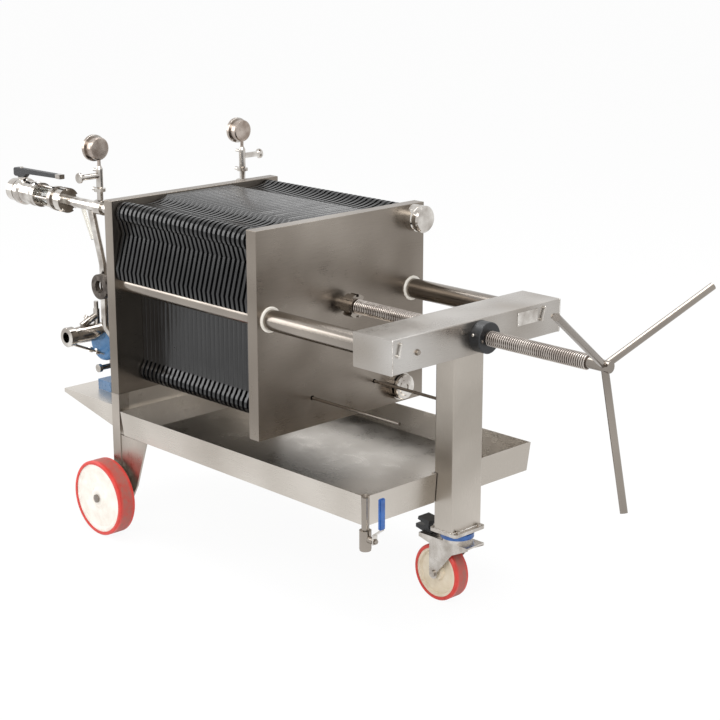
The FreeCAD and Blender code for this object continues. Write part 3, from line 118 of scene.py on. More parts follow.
def steel(name, dark, light, rough, grain=(1, 1, 60), grainMm=0.5, lift=0.02, cloudMm=180):
    material, tree = newMaterial(name)
    place = addNode(tree, "ShaderNodeTexCoord").outputs["Object"]
    # the large soft clouds between the dark and the light colour are painted reflections: lighter and darker patches
    # that stand in for the surroundings the steel would mirror
    cloud = spots(tree, place, cloudMm, 2, 0.5)
    lines = spots(tree, place, grainMm, 2, 0.6, grain)
    smears = spots(tree, place, cloudMm * 0.22, 4, 0.6)
    tone = mixColour(tree, remap(tree, cloud, 0.35, 0.65, 0, 1), hexColour(dark), hexColour(light))
    shade = addNode(
        tree,
        "ShaderNodeHueSaturation",
        {},
        {"Value": remap(tree, lines, 0.2, 0.8, 0.9, 1.1), "Color": tone},
    ).outputs[0]
    gloss = addNode(
        tree,
        "ShaderNodeMath",
        {"operation": "ADD"},
        {
            0: remap(tree, lines, 0.2, 0.8, rough - 0.07, rough + 0.07),
            1: remap(tree, smears, 0.3, 0.7, -0.05, 0.07),
        },
    )
    bump = addNode(
        tree,
        "ShaderNodeBump",
        {"Strength": 0.35, "Distance": lift * mm},
        {"Height": lines},
    )
    shader = addNode(
        tree,
        "ShaderNodeBsdfPrincipled",
        {"Metallic": 1.0},
        {"Base Color": shade, "Roughness": gloss.outputs[0], "Normal": bump.outputs[0]},
    )
    closeMaterial(tree, shader)
    return material


def plastic(name, dark, light, rough, grainMm=1.2, lift=0.05, spotMm=30, ior=1.5):
    material, tree = newMaterial(name)
    place = addNode(tree, "ShaderNodeTexCoord").outputs["Object"]
    grain = spots(tree, place, grainMm, 4, 0.6)
    wear = spots(tree, place, spotMm, 4, 0.6)
    tone = mixColour(tree, remap(tree, wear, 0.35, 0.7, 0, 1), hexColour(dark), hexColour(light))
    bump = addNode(
        tree, "ShaderNodeBump", {"Strength": 0.4, "Distance": lift * mm}, {"Height": grain}
    )
    shader = addNode(
        tree,
        "ShaderNodeBsdfPrincipled",
        {"IOR": ior},
        {
            "Base Color": tone,
            "Roughness": remap(tree, wear, 0.3, 0.7, rough - 0.05, rough + 0.08),
            "Normal": bump.outputs[0],
        },
    )
    closeMaterial(tree, shader)
    return material


def clear(name, tint, rough):
    material, tree = newMaterial(name)
    place = addNode(tree, "ShaderNodeTexCoord").outputs["Object"]
    film = spots(tree, place, 9, 4, 0.6)
    shader = addNode(
        tree,
        "ShaderNodeBsdfPrincipled",
        {"Base Color": hexColour(tint), "Transmission Weight": 1.0, "IOR": 1.47},
        {"Roughness": remap(tree, film, 0.3, 0.7, rough * 0.5, rough * 1.5)},
    )
    closeMaterial(tree, shader)
    return material


def wornTread(name, centre, halfBand):
    # cast polyurethane: satin red, with a matt grey-brown band where it runs on the floor
    material, tree = newMaterial(name)
    place = addNode(tree, "ShaderNodeTexCoord").outputs["Object"]
    across = addNode(tree, "ShaderNodeSeparateXYZ", links={0: place}).outputs[1]
    offset = addNode(tree, "ShaderNodeMath", {"operation": "SUBTRACT", 1: centre}, {0: across})
    distance = addNode(tree, "ShaderNodeMath", {"operation": "ABSOLUTE"}, {0: offset.outputs[0]})
    band = remap(tree, distance.outputs[0], halfBand * 0.7, halfBand * 1.25, 1, 0)
    dirt = spots(tree, place, 14, 5, 0.65)
    worn = addNode(
        tree, "ShaderNodeMath", {"operation": "MULTIPLY"}, {0: band, 1: remap(tree, dirt, 0.3, 0.6, 0.25, 0.85)}
    )
    red = mixColour(tree, remap(tree, dirt, 0.3, 0.7, 0, 1), hexColour("#bd2f26"), hexColour("#d23b30"))
    tone = mixColour(tree, worn.outputs[0], red, hexColour("#8f6258"))
    bump = addNode(
        tree, "ShaderNodeBump", {"Strength": 0.5, "Distance": 0.08 * mm}, {"Height": spots(tree, place, 2, 5, 0.6)}
    )
    shader = addNode(
        tree,
        "ShaderNodeBsdfPrincipled",
        {"IOR": 1.5},
        {
            "Base Color": tone,
            "Roughness": remap(tree, worn.outputs[0], 0, 0.8, 0.36, 0.62),
            "Normal": bump.outputs[0],
        },
    )
    closeMaterial(tree, shader)
    return material


finishes = {
    # ground stainless of the end plates: dull, with fine cross lines
    "plate": steel("groundPlate", "#7a7269", "#a49c93", 0.32, (1, 60, 1), cloudMm=380),
    # ground box section of the beam and column: brighter, with long grinding lines
    "beam": steel("groundBox", "#9a938b", "#d2d0cd", 0.3, (1, 60, 1), cloudMm=360),
    "column": steel("groundColumn", "#a59e95", "#c4bdb4", 0.34, (1, 1, 60), cloudMm=300),
    # brushed stainless sheet of the tray, legs and shelf
    "sheet": steel("brushedSheet", "#b5aea5", "#d5cfc7", 0.3, (60, 1, 1), cloudMm=320),
    # legs and cross member: the same sheet with upright lines
    "leg": steel("brushedTube", "#978f86", "#bab2a9", 0.3, (1, 1, 60), cloudMm=260),
    # drawn round bar, nearly mirror bright along its length
    "bar": steel("polishedBar", "#857e77", "#a0988f", 0.2, (60, 1, 1), 0.4, 0.01, 300),
    # electropolished fittings: bright with soft dark reflections
    "fitting": steel("polishedFitting", "#a39c95", "#d8d4ce", 0.12, (1, 1, 1), 3, 0.01, 40),
    # cut thread: bright crests, with dark brown flanks and roots between them
    "thread": steel("threadSteel", "#a79e97", "#c9c2bb", 0.24, (1, 1, 1), 1.5, 0.02, 60),
    "root": steel("threadRoot", "#4d443e", "#6a6059", 0.42, (1, 1, 1), 1.5, 0.03, 40),
    # zinc plated pressings of the caster
    "zinc": steel("zincPlate", "#aca59d", "#cfcac4", 0.3, (1, 1, 1), 2, 0.03, 30),
    # sand cast eyes, left dark and rough
    "cast": steel("castIron", "#4c4641", "#6f6862", 0.55, (1, 1, 1), 1.6, 0.25, 12),
    # weld bead: bright ripples
    "weld": steel("weldBead", "#b7b1aa", "#e3dfda", 0.25, (1, 1, 1), 2, 0.05, 12),
    # lacquered gauge backs: silver with a warm brown cast
    "lacquer": steel("lacqueredBack", "#93857b", "#bbb0a7", 0.24, (1, 1, 1), 2, 0.01, 30),
    # moulded parts
    "polymer": plastic("blackPolymer", "#131416", "#202124", 0.4),
    "noryl": plastic("glossyNoryl", "#0a0a0b", "#131314", 0.2, 2.5, 0.03, 60),
    "nylon": plastic("whiteNylon", "#dcd6cc", "#ece8e0", 0.4),
    "cream": plastic("creamNylon", "#d3c6ae", "#e2d8c5", 0.42),
    "nearTread": wornTread("redTreadNear", (boxes["rear_tread_near"][0].y + boxes["rear_tread_near"][1].y) / 2, 0.016),
    "farTread": wornTread("redTreadFar", (boxes["rear_tread_far"][0].y + boxes["rear_tread_far"][1].y) / 2, 0.016),
    "casterTread": wornTread("redTreadCaster", 0.0, 0.013),
    "bluePlastic": plastic("bluePlastic", "#27508f", "#3566ab", 0.34),
    "enamel": plastic("blueEnamel", "#3a6791", "#4b7aa8", 0.26, 1.6, 0.08, 40),
    "dial": plastic("dialWhite", "#e9e8e4", "#f3f2ee", 0.5),
    "ink": plastic("dialBlack", "#151515", "#222222", 0.5),
    "glass": clear("clearGlass", "#f4f8f6", 0.03),
    "tube": clear("clearTube", "#ebe7dc", 0.12),
}
slotFinish = {
    "brushed_plate": "plate",
    "brushed_sheet": "sheet",
    "polished_bar": "bar",
    "polished_fitting": "fitting",
    "thread_steel": "thread",
    "zinc_steel": "zinc",
    "black_polymer": "polymer",
    "black_noryl": "noryl",
    "white_nylon": "nylon",
    "blue_plastic": "bluePlastic",
    "blue_enamel": "enamel",
    "clear_glass": "glass",
    "clear_tube": "tube",
}
ownFinish = {
    "cross_beam": "beam",
    "front_column": "column",
    "rear_legs": "leg",
    "eye_rings": "cast",
    "rear_tread_near": "nearTread",
    "rear_tread_far": "farTread",
    "caster_tread": "casterTread",
    "caster_core": "cream",
    "pressure_gauges": "lacquer",
}
for entry in frame["record"]["subparts"]:
    name = entry["node"]
    target = nodes[name]
    target.data.materials.clear()
    target.data.materials.append(finishes[ownFinish.get(name) or slotFinish[entry["material_slot"]]])
print("finishes set")


# shapes, built where they belong
def lathe(form, profile, start, axis, steps=32):
    turn = Vector(axis).to_track_quat("Z", "Y").to_matrix()
    rings = []
    for along, radius in profile:
        count = 1 if radius < 1e-7 else steps
        angles = [2 * math.pi * i / steps for i in range(count)]
        rings.append(
            [
                form.verts.new(
                    Vector(start) + turn @ Vector((radius * math.cos(a), radius * math.sin(a), along))
                )
                for a in angles
            ]
        )
    for first, second in zip(rings, rings[1:]):
        for i in range(steps):
            j = (i + 1) % steps
            if len(first) == 1:
                form.faces.new((first[0], second[i], second[j]))
            elif len(second) == 1:
                form.faces.new((first[i], second[0], first[j]))
            else:
                form.faces.new((first[i], first[j], second[j], second[i]))


def slab(form, lowest, highest, edge=0.0):
    lowest, highest = Vector(lowest), Vector(highest)
    made = bmesh.ops.create_cube(form, size=1.0)["verts"]
    for vert in made:
        for axis in range(3):
            vert.co[axis] = lowest[axis] if vert.co[axis] < 0 else highest[axis]
    if edge:
        edges = list({edge for vert in made for edge in vert.link_edges})
        bmesh.ops.bevel(form, geom=edges, offset=edge, segments=2, affect="EDGES", clamp_overlap=True)


def strip(form, outline, width, middle):
    # a side outline in X and Z, as wide as the sheet in Y
    left = [form.verts.new((x, middle - width / 2, z)) for x, z in outline]
    right = [form.verts.new((x, middle + width / 2, z)) for x, z in outline]
    form.faces.new(left)
    form.faces.new(list(reversed(right)))
    for i in range(len(outline)):
        j = (i + 1) % len(outline)
        form.faces.new((left[j], left[i], right[i], right[j]))


def finishPiece(thing, body, smoothAngle=30):
    mesh = thing.data
    mesh.polygons.foreach_set("use_smooth", [True] * len(mesh.polygons))
    mesh.set_sharp_from_angle(angle=math.radians(smoothAngle))
    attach(thing, body)
    return thing


def newPiece(name, body, finish, form):
    bmesh.ops.recalc_face_normals(form, faces=form.faces)
    mesh = bpy.data.meshes.new(name)
    form.to_mesh(mesh)
    form.free()
    mesh.materials.append(finishes[finish])
    thing = bpy.data.objects.new(name, mesh)
    bpy.context.collection.objects.link(thing)
    return finishPiece(thing, body)


def softened(name, node, body, finish, radius, angle=28):
    # a copy of a node whose sharp edges are broken as on a moulding, so that they catch the light
    source = nodes[node]
    form = bmesh.new()
    form.from_mesh(source.data)
    bmesh.ops.remove_doubles(form, verts=form.verts, dist=1e-5)
    bmesh.ops.dissolve_limit(
        form, angle_limit=math.radians(1), verts=form.verts, edges=form.edges
    )
    sharp = [e for e in form.edges if e.is_manifold and e.calc_face_angle(0) > math.radians(angle)]
    bmesh.ops.bevel(form, geom=sharp, offset=radius, segments=1, affect="EDGES", clamp_overlap=True)
    thing = newPiece(name, body, finish, form)
    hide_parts(node)
    return thing


# node trees for what repeats
def geometryTree(name, inputs):
    tree = bpy.data.node_groups.new(name, "GeometryNodeTree")
    tree.interface.new_socket("Geometry", in_out="INPUT", socket_type="NodeSocketGeometry")
    for label, kind in inputs:
        tree.interface.new_socket(label, in_out="INPUT", socket_type=kind)
    tree.interface.new_socket("Geometry", in_out="OUTPUT", socket_type="NodeSocketGeometry")
    return tree, tree.nodes.new("NodeGroupInput").outputs, tree.nodes.new("NodeGroupOutput").inputs


def closeTree(tree, geometry, material, output):
    real = addNode(tree, "GeometryNodeRealizeInstances", links={0: geometry})
    done = addNode(
        tree, "GeometryNodeSetMaterial", links={"Geometry": real.outputs[0], "Material": material}
    )
    tree.links.new(done.outputs[0], output[0])


def grown(name, mesh, tree, values, body, smoothAngle=30):
    thing = bpy.data.objects.new(name, mesh)
    bpy.context.collection.objects.link(thing)
    modifier = thing.modifiers.new(tree.name, "NODES")
    modifier.node_group = tree
    for item in tree.interface.items_tree:
        if item.in_out == "INPUT" and item.name in values:
            modifier[item.identifier] = values[item.name]
    bpy.context.view_layer.update()
    result = thing.evaluated_get(bpy.context.evaluated_depsgraph_get())
    plain = bpy.data.meshes.new_from_object(result)
    thing.modifiers.clear()
    thing.data = plain
    return finishPiece(thing, body, smoothAngle)


def threadTree():
    tree, given, output = geometryTree(
        "helicalThread",
        [
            ("Turns", "NodeSocketFloat"),
            ("Length", "NodeSocketFloat"),
            ("Centre Radius", "NodeSocketFloat"),
            ("Ridge Radius", "NodeSocketFloat"),
            ("Start", "NodeSocketVector"),
            ("Material", "NodeSocketMaterial"),
        ],
    )
    spiral = addNode(
        tree,
        "GeometryNodeCurveSpiral",
        {"Resolution": 28},
        {
            "Rotations": given["Turns"],
            "Start Radius": given["Centre Radius"],
            "End Radius": given["Centre Radius"],
            "Height": given["Length"],
        },
    )
    ridge = addNode(
        tree, "GeometryNodeCurvePrimitiveCircle", {"Resolution": 8}, {"Radius": given["Ridge Radius"]}
    )
    flatTop = addNode(
        tree,
        "GeometryNodeTransform",
        {"Rotation": (0, 0, math.radians(22.5))},
        {"Geometry": ridge.outputs[0]},
    )
    upright = addNode(tree, "GeometryNodeSetCurveNormal", {"mode": "Z_UP"}, {0: spiral.outputs[0]})
    swept = addNode(
        tree,
        "GeometryNodeCurveToMesh",
        {"Fill Caps": True},
        {0: upright.outputs[0], 1: flatTop.outputs[0]},
    )
    laid = addNode(
        tree,
        "GeometryNodeTransform",
        {"Rotation": (0, math.radians(90), 0)},
        {"Geometry": swept.outputs[0], "Translation": given["Start"]},
    )
    closeTree(tree, laid.outputs[0], given["Material"], output)
    return tree


def boltTree():
    tree, given, output = geometryTree(
        "hexBolts",
        [
            ("Head Radius", "NodeSocketFloat"),
            ("Head Height", "NodeSocketFloat"),
            ("Material", "NodeSocketMaterial"),
        ],
    )
    half = addNode(
        tree, "ShaderNodeMath", {"operation": "MULTIPLY", 1: 0.62}, {0: given["Head Height"]}
    )
    lift = addNode(tree, "ShaderNodeCombineXYZ", links={2: half.outputs[0]})
    head = addNode(
        tree,
        "GeometryNodeMeshCylinder",
        {"Vertices": 6},
        {"Radius": given["Head Radius"], "Depth": given["Head Height"]},
    )
    raised = addNode(
        tree, "GeometryNodeTransform", {}, {"Geometry": head.outputs[0], "Translation": lift.outputs[0]}
    )
    wide = addNode(
        tree, "ShaderNodeMath", {"operation": "MULTIPLY", 1: 1.3}, {0: given["Head Radius"]}
    )
    thin = addNode(
        tree, "ShaderNodeMath", {"operation": "MULTIPLY", 1: 0.3}, {0: given["Head Height"]}
    )
    washer = addNode(
        tree,
        "GeometryNodeMeshCylinder",
        {"Vertices": 20},
        {"Radius": wide.outputs[0], "Depth": thin.outputs[0]},
    )
    pair = addNode(tree, "GeometryNodeJoinGeometry")
    tree.links.new(raised.outputs[0], pair.inputs[0])
    tree.links.new(washer.outputs[0], pair.inputs[0])
    turn = addNode(tree, "GeometryNodeInputNamedAttribute", {"data_type": "FLOAT_VECTOR", "Name": "turn"})
    facing = addNode(tree, "FunctionNodeEulerToRotation", links={0: turn.outputs[0]})
    placed = addNode(
        tree,
        "GeometryNodeInstanceOnPoints",
        {},
        {"Points": given["Geometry"], "Instance": pair.outputs[0], "Rotation": facing.outputs[0]},
    )
    closeTree(tree, placed.outputs[0], given["Material"], output)
    return tree


def beadTree():
    tree, given, output = geometryTree(
        "weldBeads",
        [
            ("Bead Radius", "NodeSocketFloat"),
            ("Spacing", "NodeSocketFloat"),
            ("Material", "NodeSocketMaterial"),
        ],
    )
    path = addNode(tree, "GeometryNodeMeshToCurve", links={0: given["Geometry"]})
    even = addNode(tree, "GeometryNodeCurveToPoints", {"mode": "LENGTH"}, {0: path.outputs[0]})
    tree.links.new(given["Spacing"], even.inputs["Length"])
    drop = addNode(
        tree, "GeometryNodeMeshIcoSphere", {"Subdivisions": 2}, {"Radius": given["Bead Radius"]}
    )
    placed = addNode(
        tree,
        "GeometryNodeInstanceOnPoints",
        {},
        {"Points": even.outputs[0], "Instance": drop.outputs[0]},
    )
    closeTree(tree, placed.outputs[0], given["Material"], output)
    return tree


# spindle: trapezoidal thread on its core
spindleSizes = {"pitch": 6 * mm, "root": 15.2 * mm, "crest": 17.9 * mm, "ridge": 1.9 * mm, "neck": 14 * mm}
screwLow, screwHigh = boxes["clamp_screw"]
axisZ = (screwLow.z + screwHigh.z) / 2
neckEnd = boxes["ring_nut"][1].x + 0.3 * mm
form = bmesh.new()
lathe(
    form,
    [
        (0, 0),
        (0, spindleSizes["neck"]),
        (neckEnd - screwLow.x, spindleSizes["neck"]),
        (neckEnd - screwLow.x, spindleSizes["root"]),
        (screwHigh.x - screwLow.x - 2 * mm, spindleSizes["root"]),
        (screwHigh.x - screwLow.x, spindleSizes["root"] - 2 * mm),
        (screwHigh.x - screwLow.x, 0),
    ],
    (screwLow.x, 0, axisZ),
    (1, 0, 0),
    48,
)
core = newPiece("spindleCore", "spindle", "root", form)
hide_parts("clamp_screw")
ridgeRadius = spindleSizes["ridge"]
ridgeStart = neckEnd + ridgeRadius
ridgeLength = screwHigh.x - ridgeStart - ridgeRadius
grown(
    "spindleThread",
    bpy.data.meshes.new("spindleThread"),
    threadTree(),
    {
        "Turns": ridgeLength / spindleSizes["pitch"],
        "Length": ridgeLength,
        "Centre Radius": spindleSizes["crest"] - ridgeRadius * 0.924,
        "Ridge Radius": ridgeRadius,
        "Start": (ridgeStart, 0, axisZ),
        "Material": finishes["thread"],
    },
    "spindle",
    20,
)
print("spindle cut")

# filter plates with the eased edges of a moulding
softened("filterPack", "filter_plates", "frame", "noryl", 0.9 * mm)
print("filter plates eased")

# bolts
bolt = boltTree()


def bolts(name, body, finish, radius, height, spots):
    mesh = bpy.data.meshes.new(name)
    mesh.from_pydata([place for place, facing in spots], [], [])
    turns = mesh.attributes.new("turn", "FLOAT_VECTOR", "POINT")
    for i, (place, facing) in enumerate(spots):
        turns.data[i].vector = Vector(facing).to_track_quat("Z", "Y").to_euler()
    return grown(
        name,
        mesh,
        bolt,
        {"Head Radius": radius, "Head Height": height, "Material": finishes[finish]},
        body,
    )


plateLow, plateHigh = boxes["caster_plate"]
postLow, postHigh = boxes["front_column"]
boltRows = ((plateLow.x + postLow.x) / 2, (plateHigh.x + postHigh.x) / 2)
bolts(
    "casterBolts", "frame", "zinc", 5.2 * mm, 4.5 * mm,
    [((x, y, plateHigh.z), (0, 0, 1)) for x in boltRows for y in (-0.036, 0.036)],
)
shelfLow, shelfHigh = boxes["pump_shelf"]
soleHeight = shelfHigh.z + 0.3 * mm
motorLow, motorHigh = boxes["pump_motor"]
pumpX = (motorLow.x + motorHigh.x) / 2
bolts(
    "pumpBolts", "frame", "bar", 5 * mm, 4 * mm,
    [((pumpX + side * 0.04, y, soleHeight), (0, 0, 1)) for side in (-1, 1) for y in (-0.18, 0.02)],
)
legLow, legHigh = boxes["rear_legs"]
beamLow, beamHigh = boxes["cross_beam"]
beamMid = (beamLow + beamHigh) / 2
bolts(
    "beamBolts", "frame", "bar", 6 * mm, 5 * mm,
    [((beamHigh.x, -0.204, beamMid.z), (1, 0, 0)), ((beamHigh.x, 0.262, beamMid.z), (1, 0, 0))],
)
print("bolts set")

# weld seams
bead = beadTree()


def welds(name, body, radius, paths):
    mesh = bpy.data.meshes.new(name)
    points, edges = [], []
    for path in paths:
        first = len(points)
        points += [tuple(p) for p in path]
        edges += [(first + i, first + i + 1) for i in range(len(path) - 1)]
    mesh.from_pydata(points, edges, [])
    return grown(
        name,
        mesh,
        bead,
        {"Bead Radius": radius, "Spacing": radius * 1.1, "Material": finishes["weld"]},
        body,
        60,
    )


endInset = 2.5 * mm
beamRims = []
for side in (-1, 1):
    y = side * (beamHigh.y - endInset)
    beamRims.append(
        [
            (beamHigh.x - 1 * mm, y, beamHigh.z - 2 * mm),
            (beamHigh.x - 1 * mm, y, beamLow.z + 1 * mm),
            (beamLow.x + 1 * mm, y, beamLow.z + 1 * mm),
        ]
    )
postRim = [
    (postLow.x, postLow.y, beamLow.z),
    (postHigh.x, postLow.y, beamLow.z),
    (postHigh.x, postHigh.y, beamLow.z),
    (postLow.x, postHigh.y, beamLow.z),
    (postLow.x, postLow.y, beamLow.z),
]
postFoot = [(x, y, plateHigh.z) for x, y, z in postRim]
welds("frameWelds", "frame", 1.8 * mm, [*beamRims, postRim, postFoot])
print("welds laid")

# data plate, left bare, with its corner rivets
dataPlate = {"middleY": 0.164, "width": 0.072, "height": 0.032, "thickness": 0.8 * mm, "belowTop": 9 * mm}
form = bmesh.new()
slab(
    form,
    (beamHigh.x, dataPlate["middleY"] - dataPlate["width"] / 2, beamHigh.z - dataPlate["belowTop"] - dataPlate["height"]),
    (beamHigh.x + dataPlate["thickness"], dataPlate["middleY"] + dataPlate["width"] / 2, beamHigh.z - dataPlate["belowTop"]),
    0.3 * mm,
)
for sideY in (-1, 1):
    for sideZ in (-1, 1):
        rivet = (
            beamHigh.x + dataPlate["thickness"],
            dataPlate["middleY"] + sideY * (dataPlate["width"] / 2 - 4 * mm),
            beamHigh.z - dataPlate["belowTop"] - dataPlate["height"] / 2 + sideZ * (dataPlate["height"] / 2 - 4 * mm),
        )
        lathe(form, [(0, 0), (0, 1.6 * mm), (0.7 * mm, 1.1 * mm), (0.9 * mm, 0)], rivet, (1, 0, 0), 12)
newPiece("dataPlate", "frame", "fitting", form)

# locking pins across the front of the beam, each with its small hook
lockPins = {"radius": 2.6 * mm, "stand": 4 * mm, "tops": [(-0.257, -0.009), (0.2236, -0.0125)], "drop": 0.034}
form = bmesh.new()
for topY, lean in lockPins["tops"]:
    top = Vector((beamHigh.x + lockPins["stand"], topY, beamHigh.z - 8 * mm))
    foot = top + Vector((0, lean, -lockPins["drop"]))
    reach = (foot - top).length
    lathe(
        form,
        [(0, 0), (0, 2 * mm), (1 * mm, lockPins["radius"]), (reach - 1 * mm, lockPins["radius"]), (reach, 2 * mm), (reach, 0)],
        top,
        foot - top,
        16,
    )
    for end in (top + (foot - top) * 0.12, foot - (foot - top) * 0.12):
        lathe(
            form,
            [(0, 0), (0, 3.6 * mm), (lockPins["stand"] + 2 * mm, 3.6 * mm), (lockPins["stand"] + 3 * mm, 2.6 * mm), (lockPins["stand"] + 3 * mm, 0)],
            (beamHigh.x - 0.5 * mm, end.y, end.z),
            (1, 0, 0),
            16,
        )
newPiece("lockPins", "frame", "fitting", form)

# grub screw and small tab of the collar
collarLow, collarHigh = boxes["nut_collar"]
form = bmesh.new()
lathe(
    form,
    [(0, 0), (0, 3.5 * mm), (9 * mm, 3.5 * mm), (10 * mm, 2.5 * mm), (10 * mm, 0)],
    (collarHigh.x - 14 * mm, -0.034, axisZ + 10 * mm),
    (0, -1, 0.25),
    16,
)
lathe(
    form,
    [(0, 0), (0, 4 * mm), (0.8 * mm, 4 * mm), (0.8 * mm, 2.2 * mm), (-0.6 * mm + 1 * mm, 0)],
    (collarHigh.x, -0.0255, axisZ - 3 * mm),
    (1, 0, 0),
    16,
)
newPiece("collarScrews", "frame", "fitting", form)
print("beam fittings made")

# gauge dials, facing the operator behind the press
gauge = {"faceRadius": 29 * mm, "faceGap": 0.4 * mm, "sweep": 270, "marks": 41, "numbers": [0, 2, 4, 6, 8], "reading": 0.12}
caseLow, caseHigh = boxes["pressure_gauges"]
faceZ = caseHigh.z - 34 * mm
faceX = caseLow.x + 3 * mm


def dialPoint(angle, radius, y, x):
    return Vector((x, y - radius * math.sin(angle), faceZ - radius * math.cos(angle)))


def gaugeMarks(y):
    form = bmesh.new()
    for i in range(gauge["marks"]):
        angle = math.radians(45 + gauge["sweep"] * i / (gauge["marks"] - 1))
        long = i % 5 == 0
        inner = (20.5 if long else 23) * mm
        half = (0.45 if long else 0.25) * mm
        along = dialPoint(angle, 1, 0, 0) - dialPoint(angle, 0, 0, 0)
        across = Vector((0, -along.z, along.y)) * half
        corners = []
        for r, s in ((inner, -1), (25.5 * mm, -1), (25.5 * mm, 1), (inner, 1)):
            corners.append(dialPoint(angle, r, y, faceX - 0.7 * mm) + across * s)
        back = [form.verts.new(c + Vector((0.25 * mm, 0, 0))) for c in corners]
        front = [form.verts.new(c) for c in corners]
        form.faces.new(front)
        form.faces.new(list(reversed(back)))
        for k in range(4):
            form.faces.new((front[k], back[k], back[(k + 1) % 4], front[(k + 1) % 4]))
    angle = math.radians(45 + gauge["sweep"] * gauge["reading"])
    tip = dialPoint(angle, 22 * mm, y, faceX - 2 * mm)
    tail = dialPoint(angle, -7 * mm, y, faceX - 2 * mm)
    reach = (tip - tail).length
    lathe(form, [(0, 0), (0, 1.1 * mm), (reach * 0.5, 0.9 * mm), (reach, 0.3 * mm), (reach, 0)], tail, tip - tail, 8)
    hub = (faceX - 0.3 * mm, y, faceZ)
    lathe(form, [(0, 0), (0, 2.6 * mm), (2 * mm, 2.6 * mm), (2.6 * mm, 1.6 * mm), (2.6 * mm, 0)], hub, (-1, 0, 0), 16)
    return form


dialForm = bmesh.new()
glassForm = bmesh.new()
bezelForm = bmesh.new()
markForms = []
for y in (-1, 1):
    gaugeY = y * (caseHigh.y - 34 * mm)
    lathe(
        dialForm,
        [(0, 0), (0, gauge["faceRadius"]), (0.5 * mm, gauge["faceRadius"]), (0.5 * mm, 0)],
        (faceX, gaugeY, faceZ),
        (-1, 0, 0),
        48,
    )
    lathe(
        glassForm,
        [(0, 0), (0, gauge["faceRadius"]), (0.3 * mm, gauge["faceRadius"]), (0.3 * mm, 0)],
        (caseLow.x + 0.5 * mm, gaugeY, faceZ),
        (-1, 0, 0),
        48,
    )
    lathe(
        bezelForm,
        [
            (-0.6 * mm, 31.3 * mm),
            (-0.6 * mm, 33.8 * mm),
            (0.2 * mm, 33.98 * mm),
            (7.8 * mm, 33.98 * mm),
            (8.3 * mm, 33.6 * mm),
            (8.3 * mm, 29.2 * mm),
            (8.2 * mm, 29.2 * mm),
            (8.2 * mm, 33 * mm),
            (-0.3 * mm, 33 * mm),
            (-0.6 * mm, 31.3 * mm),
        ],
        (caseLow.x, gaugeY, faceZ),
        (1, 0, 0),
        48,
    )
    newPiece("gaugeMarks" + ("Near" if y < 0 else "Far"), "frame", "ink", gaugeMarks(gaugeY))
newPiece("gaugeDials", "frame", "dial", dialForm)
newPiece("gaugeGlasses", "frame", "glass", glassForm)
newPiece("gaugeBezels", "frame", "fitting", bezelForm)


def dialNumbers(y, name):
    meshes = []
    for i, value in enumerate(gauge["numbers"]):
        curve = bpy.data.curves.new("number", "FONT")
        curve.body = str(value)
        curve.size = 6.5 * mm
        curve.align_x = "CENTER"
        curve.align_y = "CENTER"
        curve.extrude = 0.12 * mm
        angle = math.radians(45 + gauge["sweep"] * i / (len(gauge["numbers"]) - 1))
        letter = bpy.data.objects.new("number", curve)
        bpy.context.collection.objects.link(letter)
        bpy.context.view_layer.update()
        mesh = bpy.data.meshes.new_from_object(letter.evaluated_get(bpy.context.evaluated_depsgraph_get()))
        bpy.data.objects.remove(letter)
        turn = Euler((math.radians(90), 0, math.radians(-90))).to_matrix().to_4x4()
        mesh.transform(turn)
        spot = dialPoint(angle, 16 * mm, y, faceX - 0.7 * mm)
        for vert in mesh.vertices:
            vert.co += spot
        meshes.append(mesh)
    form = bmesh.new()
    for mesh in meshes:
        form.from_mesh(mesh)
        bpy.data.meshes.remove(mesh)
    newPiece(name, "frame", "ink", form)


dialNumbers(-(caseHigh.y - 34 * mm), "dialNumbersNear")
dialNumbers(caseHigh.y - 34 * mm, "dialNumbersFar")
print("gauges dressed")

# drain valve: steel tang with a blue sleeve pushed over it, and the stem nut
tapLow, tapHigh = boxes["drain_valve_lever"]
tapY = (tapLow.y + tapHigh.y) / 2
tapStem = tapLow.z + 7 * mm
drainLever = {"tang": 3 * mm, "tangWidth": 14 * mm, "sleeveFoot": 0.266, "sleeve": 8.6 * mm, "sleeveWidth": 17.6 * mm}
outerX = tapHigh.x - 3 * mm
form = bmesh.new()
strip(
    form,
    [
        (tapLow.x, tapLow.z),
        (tapLow.x + 3 * mm, tapLow.z),
        (tapLow.x + 3 * mm, tapStem + 14 * mm),
        (outerX, tapStem + 31 * mm),
        (outerX, tapHigh.z - 6 * mm),
        (outerX - 3 * mm, tapHigh.z - 6 * mm),
        (outerX - 3 * mm, tapStem + 33 * mm),
        (tapLow.x, tapStem + 17 * mm),
    ],
    drainLever["tangWidth"],
    tapY,
)
tang = newPiece("drainTang", "drain_lever", "fitting", form)
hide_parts("drain_valve_lever")
form = bmesh.new()
slab(
    form,
    (tapHigh.x - drainLever["sleeve"], tapY - drainLever["sleeveWidth"] / 2, drainLever["sleeveFoot"]),
    (tapHigh.x, tapY + drainLever["sleeveWidth"] / 2, tapHigh.z),
    2.4 * mm,
)
newPiece("drainSleeve", "drain_lever", "bluePlastic", form)
bolts(
    "drainNut", "drain_lever", "bar", 5.5 * mm, 4 * mm,
    [((tapLow.x + 3.2 * mm, tapY, tapStem), (1, 0, 0))],
)

